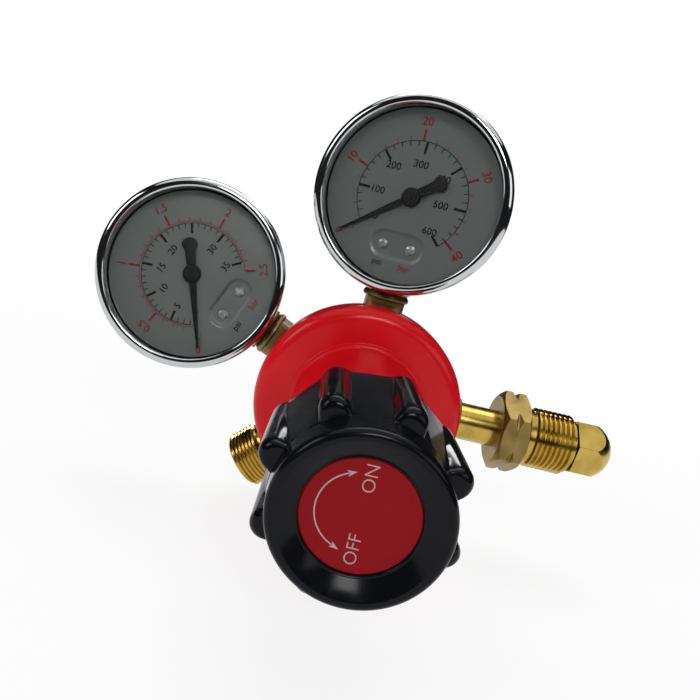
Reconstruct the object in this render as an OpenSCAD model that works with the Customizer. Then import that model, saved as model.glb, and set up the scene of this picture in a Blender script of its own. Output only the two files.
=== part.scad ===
// Two-gauge fuel-gas cylinder pressure regulator with a bull-nose inlet stem.
// The model is drawn with the knob axis along +Z and the gas ports in the plane z = 0,
// then placed() stands it up: knob axis along -Y, gauges towards +Z, inlet towards +X,
// with the origin on the inlet's axis, half way along its thread.

/* [Ports] */
// Clockwise angle of the high-pressure gauge, from straight up, seen from the knob
high_gauge_angle = 3; // [-15:1:25]
// Clockwise angle of the low-pressure gauge
low_gauge_angle = -65.5; // [-75:0.5:-62]
// How far the high-pressure gauge is screwed round on its stem
high_gauge_turn = -14; // [-20:1:20]
// How far the low-pressure gauge is screwed round on its stem
low_gauge_turn = 10; // [-20:1:20]
// Clockwise angle of the inlet
inlet_angle = 90; // [80:1:100]
// Clockwise angle of the outlet
outlet_angle = -134.5; // [-140:0.5:-125]
// Clockwise angle of the relief valve
relief_angle = 160; // [150:1:175]

/* [Bonnet] */
// Diameter of the bonnet's flange
flange_d = 75; // [70:0.5:84]
// Radius of the flange's rounded edge
flange_edge_r = 5; // [3:0.5:6]
// Height of the flange's front face over the port plane
flange_front = 21; // [20:0.5:24]
// Height of the skirt that screws over the body
skirt_h = 11.5; // [10.5:0.5:12]
// Thickness of the skirt's wall
skirt_wall = 3.5; // [2.5:0.5:4.5]
// Diameter of the crown where it leaves the flange
crown_base_d = 46.6; // [44:0.2:50]
// Diameter of the crown at its shoulder
crown_top_d = 39.6; // [38:0.2:43]
// Height of the crown's shoulder over the flange's front face
crown_h = 31; // [30:0.5:34]
// Diameter of the threaded neck
neck_d = 22; // [19:0.5:23]
// Diameter of the spring chamber
spring_bore_d = 33; // [31.5:0.5:34]

/* [Knob] */
// Diameter over the knob's ribs
knob_d = 55.6; // [50:0.2:62]
// Number of ribs
knob_ribs = 8; // [6:1:8]
// Clockwise angle of the first rib
rib_angle = 17.6; // [0:0.1:45]
// Length of the knob
knob_l = 41.6; // [38:0.2:48]
// Radius of each rib's rounded tip
rib_tip_r = 4; // [2:0.1:4.4]
// Radius of the hollow beside each rib
rib_root_r = 3; // [2:0.1:4]
// Distance of the ribs' front ends behind the knob's front
rib_setback = 9; // [8:0.5:14]
// Distance from the axis to the flutes at the knob's front
flute_front_r = 22.7; // [22:0.1:23.5]
// Distance from the axis to the flutes at the knob's rear
flute_rear_r = 25.2; // [23:0.1:25.6]
// Diameter of the front crest
crest_d = 42.8; // [40:0.2:44]
// Diameter of the coloured disc
disc_d = 29; // [27:0.5:31]
// Depth of the disc under the crest
disc_depth = 3.6; // [2:0.2:5]
// Distance of the knob's rear from the bonnet's neck when fully backed out
knob_gap = 5; // [4:0.5:8]

/* [Adjusting screw] */
// Diameter of the adjusting screw
screw_d = 12; // [10:0.5:13]
// Travel of the adjusting screw
screw_travel = 8; // [6:0.5:9]
// Across flats of the screw's head
screw_head_af = 18; // [16:0.5:19]

/* [Diaphragm chamber] */
// Thickness of the diaphragm
diaphragm_t = 1; // [0.8:0.1:1.2]
// Thickness of the slip ring
slip_ring_t = 1; // [0.8:0.1:1.2]
// Diameter of the diaphragm chamber
chamber_d = 54; // [50:0.5:56]
// Depth of the diaphragm chamber
chamber_depth = 4.5; // [4:0.5:5.5]
// Travel of the diaphragm and valve
valve_travel = 0.8; // [0.5:0.1:1]
// Diameter of the main spring's wire
main_wire_d = 3.2; // [2.8:0.1:3.4]
// Number of coils in the main spring
main_coils = 5.5; // [4.5:0.5:5.5]

/* [Inlet] */
// Diameter of the inlet stem
stem_d = 14; // [12:0.5:15]
// Length of bare stem between the body's boss and the nut
bare_stem_l = 14.5; // [10:0.5:20]
// Length of the nut's hexagon
nut_hex_l = 10.5; // [9:0.5:14]
// Across flats of the nut
nut_af = 27; // [26:0.5:30]
// Diameter of the inlet thread
inlet_thread_d = 22.9; // [20:0.1:24]
// Length of the inlet thread
inlet_thread_l = 13; // [10:0.5:16]
// Length of the plain shoulder between hexagon and thread
nut_shoulder_l = 4; // [2:0.5:5]
// Across flats of the bull nose
nose_af = 19; // [17.5:0.5:20]
// Radius of the bull nose's spherical seat
nose_r = 11.2; // [11:0.1:12]
// Length of the bull nose's hexagon behind its round end
nose_land_l = 4; // [1.5:0.5:6]

/* [Outlet] */
// Diameter of the outlet thread
outlet_thread_d = 22; // [20:0.5:23]
// Length of the outlet thread
outlet_thread_l = 11.5; // [9:0.5:15]
// Diameter of the outlet's gas way
outlet_bore_d = 8; // [6:0.5:9]

/* [Gauges] */
// Gap between each gauge's bezel and the bonnet's flange
gauge_gap = 5.2; // [4:0.1:12]
// Diameter of the gauge's case
case_d = 63.5; // [62:0.5:68]
// How far the bezel stands out past the case
bezel_reach = 2.55; // [2:0.05:3]
// Depth of the case behind the stem's axis
case_back = 12; // [11:0.5:14]
// Height of the bezel's front over the stem's axis
bezel_front = 16.2; // [15.8:0.2:18]
// Thickness of the case's sheet
case_wall = 0.8; // [0.6:0.1:1]
// Width of the stem's square
socket_w = 16.5; // [14:0.5:17]
// Angle from the stem to the high-pressure pointer at rest, clockwise
high_zero_angle = 52; // [45:1:55]
// Angle from the stem to the low-pressure pointer at rest
low_zero_angle = 49; // [45:1:55]
// Sweep of the pointer from zero to full scale
pointer_sweep = 263; // [240:1:270]
// Gap between the pointer's tip and the case
pointer_gap = 4.25; // [3:0.25:8]
// Depth of the dial's pressed recess
recess_depth = 0.6; // [0.3:0.1:0.8]
// Teeth on the pinion
pinion_teeth = 12; // [12:1:12]
// Teeth that the sector gear would have as a full wheel
sector_teeth = 84; // [84:12:84]
// Module of the gear teeth
tooth_module = 0.35; // [0.35:0.01:0.35]

/* [Fits] */
// Radial clearance of a running fit or a screwed-in end
fit = 0.05; // [0.02:0.01:0.1]
// Gap between pieces that pass each other
gap = 0.3; // [0.2:0.05:0.4]

/* [Hidden] */
$fn = 96;

brass = "darkgoldenrod";
steel = "silver";
red_paint = "firebrick";
black_plastic = "dimgray";

flange_r = flange_d / 2;

// Heights along the knob axis, from the port plane
skirt_bottom = flange_front - skirt_h;
body_disc_r = flange_r - skirt_wall - fit;
body_top = flange_front - 6;
diaphragm_top = body_top + diaphragm_t;
shoulder_z = diaphragm_top + slip_ring_t + fit;
chamber_floor = body_top - chamber_depth;
crown_z = flange_front + 2;
crown_shoulder = flange_front + crown_h;
bonnet_roof = crown_shoulder - 1;
neck_top = crown_shoulder + 10;
neck_root = crown_shoulder + 4;
knob_rear = neck_top + knob_gap;
knob_front = knob_rear + knob_l;
disc_front = knob_front - disc_depth;
disc_t = 1.15;
disc_back = disc_front - disc_t;
head_h = 6;
head_pocket = disc_back - head_h - 2;
knob_cavity = knob_rear + 9;
rib_front = knob_front - rib_setback;

// Spring stack
ball_r = 2.5;
button_t = 3.2;
button_top = bonnet_roof - 1;
button_bottom = button_top - button_t;
ball_z = button_top + 0.4;
screw_tip = button_top + 0.8;
plate_t = 2.5;
plate_rim_r = 15;
rivet_r = 3;
plate_top = diaphragm_top + plate_t;
spring_mean_r = spring_bore_d / 2 - 2.4 - main_wire_d / 2 - 1;
plate_boss_r = spring_mean_r - main_wire_d / 2 - 0.5;

// Valve stack
valve_bore_r = 7.5;
valve_bore_floor = -15;
nozzle_r = 9;
nozzle_bottom = 4;
nozzle_top = chamber_floor + 1.5;
orifice_r = 1.6;
pin_r = 1;
button_back = nozzle_top + valve_travel + 0.4;
poppet_top = nozzle_bottom - 0.2;
poppet_bottom = poppet_top - 10;
core_r = 17;
core_back = -20;

// Ports
gauge_neck_w = 14;
lip_start = flange_r + 2;
lip_end = lip_start + 3.1;
lip_r = 8.6;
gauge_thread_r = 4.85;
inlet_boss_r = 8.5;
inlet_boss_end = flange_r + 2;
stem_thread_r = 6.5;
outlet_boss_r = 9;
outlet_boss_end = flange_r + 1.5;
outlet_thread_start = outlet_boss_end + 2;
outlet_end = outlet_thread_start + outlet_thread_l;
relief_boss_end = flange_r - 1.5;
relief_thread_r = 4.9;
port_thread_l = 12;
gas_way_r = 2;
turn_up_r = chamber_d / 2 - 4;

// Inlet stem and nut, as distances from the knob axis
nut_start = inlet_boss_end + bare_stem_l;
nut_hex_end = nut_start + nut_hex_l;
nut_thread_start = nut_hex_end + nut_shoulder_l;
nut_thread_end = nut_thread_start + inlet_thread_l;
nut_end = nut_thread_end + 1.6;
nose_start = nut_end + gap;
seat_x = nose_start + nose_land_l;
shoulder_r = inlet_thread_d / 2 - 0.9;
collar_r = inlet_thread_d / 2 - 1.8;
nut_turn = 27;
nose_turn = 43;

// Relief valve, as distances from the knob axis
relief_hex_end = relief_boss_end + 5;
relief_end = relief_hex_end + 9;
relief_bore_r = 4.4;
relief_seat = relief_boss_end + 2;
relief_travel = 1.5;

// Gauge, in its own frame: +Z is the dial's normal, +Y points away from the stem
case_r = case_d / 2;
bezel_r = case_r + bezel_reach;
gauge_offset = flange_r + gauge_gap + bezel_r;
case_front = bezel_front - 3.2;
case_corner = 3;
lens_t = 2;
dial_z = case_front - 5;
dial_t = 0.5;
tray_floor = dial_z + 0.4;
dial_front = tray_floor + recess_depth;
recess_r = 4.4;
recess_wall = 0.8;
recess_y = -17.6;
dial_r = case_r - case_wall - 0.4;
window_r = bezel_r - 3.5;
pointer_l = case_r - pointer_gap;
bezel_rear = case_front - 3.5;
hub_z = dial_front + 1;
pinion_r = tooth_module * pinion_teeth / 2;
sector_r = tooth_module * sector_teeth / 2;
sector_y = -(pinion_r + sector_r);
sector_step = 360 / sector_teeth;
sector_swing = pointer_sweep * pinion_teeth / sector_teeth;
sector_t = 1;
counterweight_l = 11;
stop_r = 0.5;
stop_x = 0.85 * pointer_l;
stop_y = 1.05;
tail_l = 6;
tail_angle = -20;
arbor_r = 0.6;
sector_arbor_r = 0.8;
back_plate_z = -3.6;
front_plate_z = 4.8;
sheet_t = 1.2;
tube_r = 23;
tube_start = -105;
tube_sweep = -255;
tube_w = 2.2;
tube_h = 6;
tube_z = -4;
link_z = 1.3;
dial_screw_x = 5.1;
dial_screw_y = -17.9;
pad_top = back_plate_z;
block_back = case_wall - case_back;
block_y = tube_r + 1.7;
block_l = 10.7;
case_screw_x = 4.4;
case_screw_y = -18.6;
eye_r = 1.3;
link_pin_r = 0.5;
link_play = 0.4;
tail_pin = [tail_l * cos(tail_angle), sector_y + tail_l * sin(tail_angle)];
tip_angle = tube_start + tube_sweep + 360;
tip_l = 3;
tip_pin_in = 2.4;
tip_pin = polar(tube_r - tube_w / 2 - tip_pin_in, tip_angle) + polar(tip_l / 2, tip_angle - 90);
pillars = [[-4.4, 3.9], [4.4, 3.9], [-4.4, sector_y - 2.4], [2, sector_y - 3.3]];

// Points of an arc about a centre, from angle a to angle b
function arc(centre, r, a, b, steps) =
    [for (i = [0:steps]) let (t = a + (b - a) * i / steps) centre + r * [cos(t), sin(t)]];
function polar(r, t) = [r * cos(t), r * sin(t)];

// Turns a child's +Y to a clockwise port angle
module port(angle) rotate([0, 0, -angle]) children();

// A round bar along +Y
module bar(r, from, to) translate([0, from, 0]) rotate([-90, 0, 0]) cylinder(r = r, h = to - from);

// A hexagonal bar along +Y, with its corner turned from +Z by turn
module hex_bar(across_flats, from, to, turn = 0)
    translate([0, from, 0]) rotate([-90, 0, 0]) rotate([0, 0, turn - 90])
        cylinder(d = across_flats / cos(30), h = to - from, $fn = 6);

// A revolved profile about +Y, from points [radius, distance]
module turned_y(points) rotate([-90, 0, 0]) rotate_extrude() polygon(points);

// Stands the regulator up, with the middle of its inlet thread at the origin
module placed() translate([-(nut_thread_start + nut_thread_end) / 2, 0, 0]) rotate([90, 0, 0]) children();
module at_gauge(angle, turn) placed() port(angle) translate([0, gauge_offset, 0]) rotate([0, turn, 0]) children();
module high_gauge() at_gauge(high_gauge_angle, high_gauge_turn) children();
module low_gauge() at_gauge(low_gauge_angle, low_gauge_turn) children();

// A square bar along +Y with bevelled edges
module square_bar(w, depth, bevel, from, to)
    translate([0, to, 0]) rotate([90, 0, 0]) linear_extrude(to - from)
        polygon([[-w / 2, -depth / 2 + bevel], [-w / 2 + bevel, -depth / 2],
            [w / 2 - bevel, -depth / 2], [w / 2, -depth / 2 + bevel],
            [w / 2, depth / 2 - bevel], [w / 2 - bevel, depth / 2],
            [-w / 2 + bevel, depth / 2], [-w / 2, depth / 2 - bevel]]);

// A coil spring on the Z axis, with its first and last turns laid close
function coil_rise(turn, turns, wire, length) = lookup(turn,
    [[0, 0], [1, wire + 0.4], [turns - 1, length - wire - 0.4], [turns, length]]);
module coil(mean_r, wire, bottom, top, turns, per_turn = 16, sides = 6) {
    rings = ceil(turns * per_turn);
    points = [for (i = [0:rings]) let (turn = turns * i / rings, a = 360 * turn,
            z = bottom + wire / 2 + coil_rise(turn, turns, wire, top - bottom - wire))
        for (k = [0:sides - 1]) let (b = 360 * k / sides, r = mean_r + wire / 2 * cos(b))
            [r * cos(a), r * sin(a), z + wire / 2 * sin(b)]];
    walls = [for (i = [0:rings - 1], k = [0:sides - 1]) let (n = (k + 1) % sides)
        each [[i * sides + k, i * sides + n, (i + 1) * sides + n],
            [i * sides + k, (i + 1) * sides + n, (i + 1) * sides + k]]];
    ends = [[for (k = [sides - 1:-1:0]) k], [for (k = [0:sides - 1]) rings * sides + k]];
    polyhedron(points, concat(walls, ends), convexity = 8);
}

// ---- Regulator ----

module gauge_boss(angle) port(angle) {
    square_bar(gauge_neck_w, gauge_neck_w, 1, 10, lip_start + 0.2);
    turned_y([[0, lip_start], [lip_r - 0.5, lip_start], [lip_r, lip_start + 0.5],
        [lip_r, lip_end - 1.6], [lip_r - 1.2, lip_end], [0, lip_end]]);
}

module body() color(brass) difference() {
    union() {
        rotate(45) rotate_extrude() polygon(concat(
            [[0, core_back], [core_r - 3, core_back]],
            arc([core_r - 3, core_back + 3], 3, -90, 0, 6),
            [[core_r, 1.5], [body_disc_r - 1, skirt_bottom - 4],
                [body_disc_r, skirt_bottom - 3], [body_disc_r, body_top], [0, body_top]]));
        gauge_boss(high_gauge_angle);
        gauge_boss(low_gauge_angle);
        port(inlet_angle) bar(inlet_boss_r, 10, inlet_boss_end);
        port(outlet_angle) bar(outlet_boss_r, 10, outlet_boss_end);
        port(relief_angle) bar(relief_thread_r + 2.6, 10, relief_boss_end);
    }
    translate([0, 0, chamber_floor]) cylinder(d = chamber_d, h = chamber_depth + 1);
    translate([0, 0, nozzle_bottom]) cylinder(r = nozzle_r, h = chamber_floor);
    translate([0, 0, valve_bore_floor]) cylinder(r = valve_bore_r, h = nozzle_bottom - valve_bore_floor + 0.5);
    for (angle = [high_gauge_angle, low_gauge_angle])
        port(angle) bar(gauge_thread_r + fit, lip_end - port_thread_l - 1, lip_end + 1);
    port(inlet_angle) bar(stem_thread_r + fit, inlet_boss_end - port_thread_l - 1, inlet_boss_end + 1);
    port(outlet_angle) bar(stem_thread_r + fit, outlet_boss_end - port_thread_l - 1, outlet_boss_end + 1);
    port(relief_angle) bar(relief_thread_r + fit, relief_boss_end - 7, relief_boss_end + 1);
    // High-pressure gas ways reach the valve bore, low-pressure ones turn up into the chamber
    for (angle = [high_gauge_angle, inlet_angle]) port(angle) bar(gas_way_r, valve_bore_r - 2.5, 32);
    for (angle = [low_gauge_angle, outlet_angle, relief_angle]) port(angle) {
        bar(gas_way_r, turn_up_r - 2.5, 32);
        translate([0, turn_up_r, -0.5]) cylinder(r = gas_way_r - 0.5, h = chamber_floor + 1.5);
    }
}

module bonnet() color(red_paint) difference() {
    rotate_extrude() polygon(concat(
        [[0, skirt_bottom], [flange_r - 0.5, skirt_bottom], [flange_r, skirt_bottom + 0.5]],
        arc([flange_r - flange_edge_r, flange_front - flange_edge_r], flange_edge_r, 0, 90, 8),
        [[crown_base_d / 2 + 1, flange_front + 0.8]],
        arc([crown_base_d / 2 + 1, crown_z], 1.2, 270, 200, 3),
        [[crown_top_d / 2, crown_shoulder]],
        arc([crown_top_d / 2 - 4, crown_shoulder], 4, 0, 80, 6),
        [[neck_d / 2 + 1, neck_root], [neck_d / 2, neck_root + 1],
            [neck_d / 2, neck_top - 1], [neck_d / 2 - 1, neck_top], [0, neck_top]]));
    translate([0, 0, skirt_bottom - 1]) cylinder(r = body_disc_r + fit, h = shoulder_z - skirt_bottom + 1);
    // Room for the diaphragm's roll
    translate([0, 0, shoulder_z - 0.1]) cylinder(d = chamber_d - 0.4, h = 1.7);
    translate([0, 0, shoulder_z]) cylinder(d = spring_bore_d, h = bonnet_roof - shoulder_z);
    cylinder(r = screw_d / 2, h = neck_top + 1);
    // Vent of the spring chamber, on the underside
    translate([0, 0, crown_z + 6]) rotate([90, 0, 0]) cylinder(r = 1.25, h = crown_base_d, $fn = 32);
}

// A rubber disc with one rolled ring
module diaphragm() color("black") {
    roll = (chamber_d / 2 - plate_rim_r) / 2 - 1;
    middle = (chamber_d / 2 + plate_rim_r) / 2;
    rise = min(roll, 2.2);
    difference() {
        rotate_extrude() polygon(concat(
            [[0, body_top], [middle - roll, body_top]],
            [for (t = [180:-15:0]) [middle + (roll - 1) * cos(t), body_top + (rise - 1) * sin(t)]],
            [[middle + roll, body_top], [body_disc_r - 1, body_top], [body_disc_r - 1, diaphragm_top],
                [middle + roll, diaphragm_top]],
            [for (t = [0:15:180]) [middle + roll * cos(t), diaphragm_top + (rise - 0.7) * sin(t)]],
            [[middle - roll, diaphragm_top], [0, diaphragm_top]]));
        translate([0, 0, body_top - 1]) cylinder(r = rivet_r + fit, h = 5);
    }
}

module slip_ring() color(brass) translate([0, 0, diaphragm_top]) difference() {
    cylinder(r = body_disc_r - 1, h = slip_ring_t);
    translate([0, 0, -1]) cylinder(d = chamber_d - 0.4, h = slip_ring_t + 2);
}

// Spring seat in front of the diaphragm
module diaphragm_plate() color(brass) rotate_extrude() polygon([[rivet_r + fit, diaphragm_top],
    [plate_rim_r - 1, diaphragm_top], [plate_rim_r, diaphragm_top + 1], [plate_rim_r, plate_top],
    [plate_boss_r, plate_top], [plate_boss_r, plate_top + 2], [plate_boss_r - 1, plate_top + 3],
    [rivet_r + fit, plate_top + 3]]);

// Rear washer with the rivet that clamps plate and diaphragm together
module diaphragm_button() color(brass) rotate_extrude() polygon([[0, button_back], [5, button_back],
    [10, button_back + 0.6], [10, body_top], [rivet_r, body_top], [rivet_r, plate_top + 3],
    [4.2, plate_top + 3], [3.4, plate_top + 4], [0, plate_top + 4]]);

module main_spring() color(steel)
    coil(spring_mean_r, main_wire_d, plate_top, button_bottom, main_coils, 18, 8);

module spring_button() color(brass) difference() {
    rotate_extrude() polygon([[0, button_bottom - 2.4], [plate_boss_r - 1, button_bottom - 2.4],
        [plate_boss_r, button_bottom - 1.4], [plate_boss_r, button_bottom],
        [spring_bore_d / 2 - 1.2, button_bottom], [spring_bore_d / 2 - 1.2, button_top - 1],
        [spring_bore_d / 2 - 2.2, button_top], [0, button_top]]);
    translate([0, 0, ball_z]) sphere(r = ball_r + fit);
}

module thrust_ball() color(steel) translate([0, 0, ball_z]) sphere(r = ball_r);

module adjusting_screw() color(steel) difference() {
    union() {
        translate([0, 0, screw_tip]) cylinder(r = screw_d / 2 - fit, h = head_pocket - screw_tip + fit);
        intersection() {
            translate([0, 0, head_pocket + fit]) cylinder(d = screw_head_af / cos(30), h = head_h, $fn = 6);
            translate([0, 0, head_pocket + fit]) rotate_extrude() polygon([[0, 0], [screw_head_af / 2 + 1.5, 0],
                [screw_head_af / 2 + 1.5, head_h - 1.2], [screw_head_af / 2 - 0.5, head_h], [0, head_h]]);
        }
    }
    translate([0, 0, ball_z]) sphere(r = ball_r + fit);
}

// Cross-section with one rounded rib for each step, hollowed into the flutes
module ribbed_section() {
    rib_centre = knob_d / 2 - rib_tip_r;
    hollow_y = flute_front_r + rib_root_r;
    hollow_x = rib_tip_r + rib_root_r;
    circle(r = flute_front_r);
    for (i = [0:knob_ribs - 1]) rotate(i * 360 / knob_ribs - rib_angle) {
        translate([0, rib_centre]) circle(r = rib_tip_r, $fn = 32);
        difference() {
            translate([-hollow_x, 0]) square([2 * hollow_x, hollow_y]);
            for (side = [-1, 1]) translate([side * hollow_x, hollow_y]) circle(r = rib_root_r, $fn = 32);
        }
    }
}

module knob() color(black_plastic) difference() {
    intersection() {
        union() {
            translate([0, 0, knob_rear]) linear_extrude(knob_l) ribbed_section();
            // Tapered core whose flats run from the rear's full size down to the flutes
            intersection() {
                translate([0, 0, knob_rear]) cylinder(r1 = knob_d / 2 - 1.6, r2 = flute_front_r, h = rib_front + 3 - knob_rear);
                for (i = [0:knob_ribs / 2 - 1]) rotate((i + 0.5) * 360 / knob_ribs - rib_angle) knob_flats();
            }
        }
        rotate_extrude() polygon(concat(
            [[0, knob_rear]],
            arc([knob_d / 2 - 0.8, knob_rear + 0.8], 0.8, -90, 0, 3),
            [[knob_d / 2, rib_front], [flute_front_r + 0.1, rib_front + 3.4], [crest_d / 2 + 0.9, knob_front - 3]],
            arc([crest_d / 2 - 1.1, knob_front - 2], 2, 10, 90, 6),
            [[disc_d / 2 + 1.2, disc_front + 0.4], [disc_d / 2 + fit, disc_front + 0.2],
                [disc_d / 2 + fit, disc_back], [0, disc_back]]));
    }
    translate([0, 0, knob_rear - 1]) cylinder(d = neck_d + 4, h = knob_cavity - knob_rear + 1);
    translate([0, 0, knob_rear]) cylinder(d = screw_d, h = knob_l);
    translate([0, 0, head_pocket]) cylinder(d = (screw_head_af + 2 * fit) / cos(30), h = knob_l, $fn = 6);
}

// Two opposite flats, leaning in towards the front
module knob_flats() {
    lean = atan((flute_rear_r - flute_front_r) / (rib_front - knob_rear));
    intersection_for (side = [-1, 1])
        translate([0, side * flute_rear_r, knob_rear]) rotate([side * lean, 0, 0])
            translate([-50, side > 0 ? -100 : 0, -20]) cube([100, 100, 100]);
}

module knob_disc() color(red_paint) rotate_extrude() polygon([[0, disc_back + 0.02],
    [disc_d / 2, disc_back + 0.02], [disc_d / 2, disc_front - 0.2], [disc_d / 2 - 0.3, disc_front],
    [0, disc_front]]);

// ---- Valve ----

module valve_nozzle() color(brass) difference() {
    union() {
        translate([0, 0, nozzle_bottom + 0.5]) cylinder(r = nozzle_r - fit, h = chamber_floor - nozzle_bottom - 0.5);
        translate([0, 0, chamber_floor]) cylinder(d = 14 / cos(30), h = nozzle_top - chamber_floor, $fn = 6);
        translate([0, 0, nozzle_bottom]) cylinder(r1 = 2.6, r2 = 3.6, h = 1);
    }
    cylinder(r = orifice_r, h = nozzle_top + 1);
    // Cross holes let the gas out under the diaphragm
    for (turn = [0, 90]) rotate([0, 90, turn]) translate([-nozzle_top + 0.75, 0, -12]) cylinder(r = 0.5, h = 24, $fn = 24);
}

module valve_poppet() color(brass) difference() {
    union() {
        translate([0, 0, poppet_top - 5]) cylinder(r = valve_bore_r - gap, h = 5);
        translate([0, 0, poppet_bottom]) cylinder(r = 2.6, h = 6);
    }
    translate([0, 0, poppet_top - 2]) cylinder(r = 4.5, h = 3);
    // Gas slots down the poppet's side
    for (i = [0:3]) rotate(45 + 90 * i) translate([valve_bore_r, 0, poppet_top - 6]) cylinder(r = 1.6, h = 8, $fn = 32);
}

module seat_insert() color("ivory") translate([0, 0, poppet_top - 2]) difference() {
    cylinder(r = 4.5 - fit, h = 2.1);
    translate([0, 0, 1]) cylinder(r = pin_r, h = 2);
}

module push_pin() color(steel) translate([0, 0, poppet_top - 1]) cylinder(r = pin_r - fit, h = button_back - poppet_top + 0.9, $fn = 32);

module poppet_spring() color(steel) coil(4, 0.8, valve_bore_floor, poppet_top - 5, 5, 12, 6);

// ---- Inlet ----

module inlet_stem() color(brass) port(inlet_angle) difference() {
    union() {
        bar(stem_thread_r, inlet_boss_end - port_thread_l, inlet_boss_end);
        bar(stem_d / 2, inlet_boss_end, nose_start + 0.5);
        intersection() {
            hex_bar(nose_af, nose_start, seat_x + nose_r + 1, nose_turn);
            union() {
                translate([0, seat_x, 0]) sphere(r = nose_r);
                bar(nose_r, nose_start, seat_x);
            }
        }
    }
    bar(gas_way_r + 0.5, inlet_boss_end - port_thread_l - 1, nose_start + 2);
    bar(3.2, nose_start - 4, seat_x + nose_r + 1);
}

module inlet_filter() color("peru") port(inlet_angle) bar(3.2 - fit, nose_start - 3.8, seat_x + nose_r - 3.5);

module inlet_nut() color(brass) port(inlet_angle) difference() {
    outer = nut_af / 2 / cos(30) + 1;
    middle = (nut_start + nut_hex_end) / 2;
    face_r = nut_af / 2 - 0.7;
    notch_r = nut_af / 2 + 0.5;
    slope = tan(30);
    union() {
        intersection() {
            hex_bar(nut_af, nut_start, nut_hex_end, nut_turn);
            turned_y([[0, nut_start], [face_r, nut_start], [outer, nut_start + (outer - face_r) * slope],
                [outer, middle - (outer - notch_r) * slope], [notch_r, middle],
                [outer, middle + (outer - notch_r) * slope], [outer, nut_hex_end - (outer - face_r) * slope],
                [face_r, nut_hex_end], [0, nut_hex_end]]);
        }
        turned_y([[0, nut_hex_end - 1], [shoulder_r, nut_hex_end - 1], [shoulder_r, nut_thread_start - 0.7],
            [inlet_thread_d / 2, nut_thread_start], [inlet_thread_d / 2, nut_thread_end - 1],
            [inlet_thread_d / 2 - 1, nut_thread_end], [collar_r, nut_thread_end],
            [collar_r, nut_end - 0.6], [collar_r - 0.6, nut_end], [0, nut_end]]);
    }
    bar(stem_d / 2 + fit, nut_start - 1, nut_end + 1);
}

// ---- Outlet ----

module outlet_connector() color(brass) port(outlet_angle) difference() {
    turned_y([[0, outlet_boss_end - port_thread_l], [stem_thread_r, outlet_boss_end - port_thread_l],
        [stem_thread_r, outlet_boss_end], [outlet_thread_d / 2 - 1.6, outlet_boss_end],
        [outlet_thread_d / 2 - 1.6, outlet_thread_start - 0.8], [outlet_thread_d / 2, outlet_thread_start],
        [outlet_thread_d / 2, outlet_end - 1], [outlet_thread_d / 2 - 1, outlet_end], [0, outlet_end]]);
    bar(gas_way_r + 1, outlet_boss_end - port_thread_l - 1, outlet_end - 8);
    bar(outlet_bore_d / 2, outlet_end - 9, outlet_end + 1);
    // Cone that seats the hose tail
    translate([0, outlet_end - 4, 0]) rotate([-90, 0, 0]) cylinder(r1 = outlet_bore_d / 2, r2 = outlet_bore_d / 2 + 4.2, h = 4.2);
}

// ---- Relief valve ----

module relief_body() color(brass) port(relief_angle) difference() {
    union() {
        bar(relief_thread_r, relief_boss_end - 6.5, relief_boss_end);
        hex_bar(14, relief_boss_end, relief_hex_end);
        bar(6.2, relief_hex_end, relief_end);
    }
    bar(gas_way_r, relief_boss_end - 7, relief_end);
    bar(relief_bore_r, relief_seat, relief_end + 1);
    for (i = [0:3]) translate([0, relief_hex_end + 2, 0]) rotate([0, 45 + 90 * i, 0]) cylinder(r = 1, h = 8, $fn = 24);
}

module relief_poppet() color(brass) port(relief_angle) {
    bar(relief_bore_r - gap, relief_seat + 0.05, relief_seat + 2);
    bar(1.2, relief_seat + 2, relief_seat + 5);
}

module relief_spring() color(steel) port(relief_angle) rotate([-90, 0, 0])
    coil(2.8, 0.9, relief_seat + 2, relief_end - 1.5, 5, 12, 6);

// Screwed into the barrel's mouth, with a slot for a screwdriver
module relief_cap() color(brass) port(relief_angle) difference() {
    union() {
        bar(relief_bore_r - fit, relief_end - 1.5, relief_end);
        turned_y([[0, relief_end], [6.2, relief_end], [6.2, relief_end + 1], [5.4, relief_end + 1.8], [0, relief_end + 1.8]]);
    }
    bar(1.5, relief_end - 2, relief_end + 3);
    translate([-7, relief_end + 0.8, -0.6]) cube([14, 2, 1.2]);
}

// ---- Gauge, drawn once and placed twice ----

// Room inside the case, less a clearance at its side and corner
module case_room() rotate_extrude() polygon(concat([[0, block_back]],
    arc([case_r - case_corner - gap, -case_back + case_corner], case_corner - case_wall, -90, 0, 5),
    [[case_r - case_wall - gap, case_front], [0, case_front]]));

// Thread, square and the block inside the case that carries tube and movement
module gauge_socket() color(brass) difference() {
    wall_y = -case_r;
    stem_end = lip_end - gauge_offset;
    union() {
        bar(gauge_thread_r, stem_end - port_thread_l, stem_end);
        square_bar(socket_w, 15, 1.6, stem_end, wall_y - 0.3);
        square_bar(14, 14, 1.2, wall_y - 0.3, 0.1 - block_y);
        intersection() {
            translate([-7, -block_y, block_back]) cube([14, block_l, pad_top - block_back]);
            case_room();
        }
    }
    bar(1.5, stem_end - port_thread_l - 1, 0.7 - block_y);
    bourdon_section(fit);
    for (x = [-case_screw_x, case_screw_x]) translate([x, case_screw_y, block_back - 1]) cylinder(r = 1.2 + fit, h = 5, $fn = 32);
    // Opening for the plates' lower pillars and the sector's tail
    translate([-7.5, -tube_r - 1.2, pad_top]) cube([15, 12, 12]);
}

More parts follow.
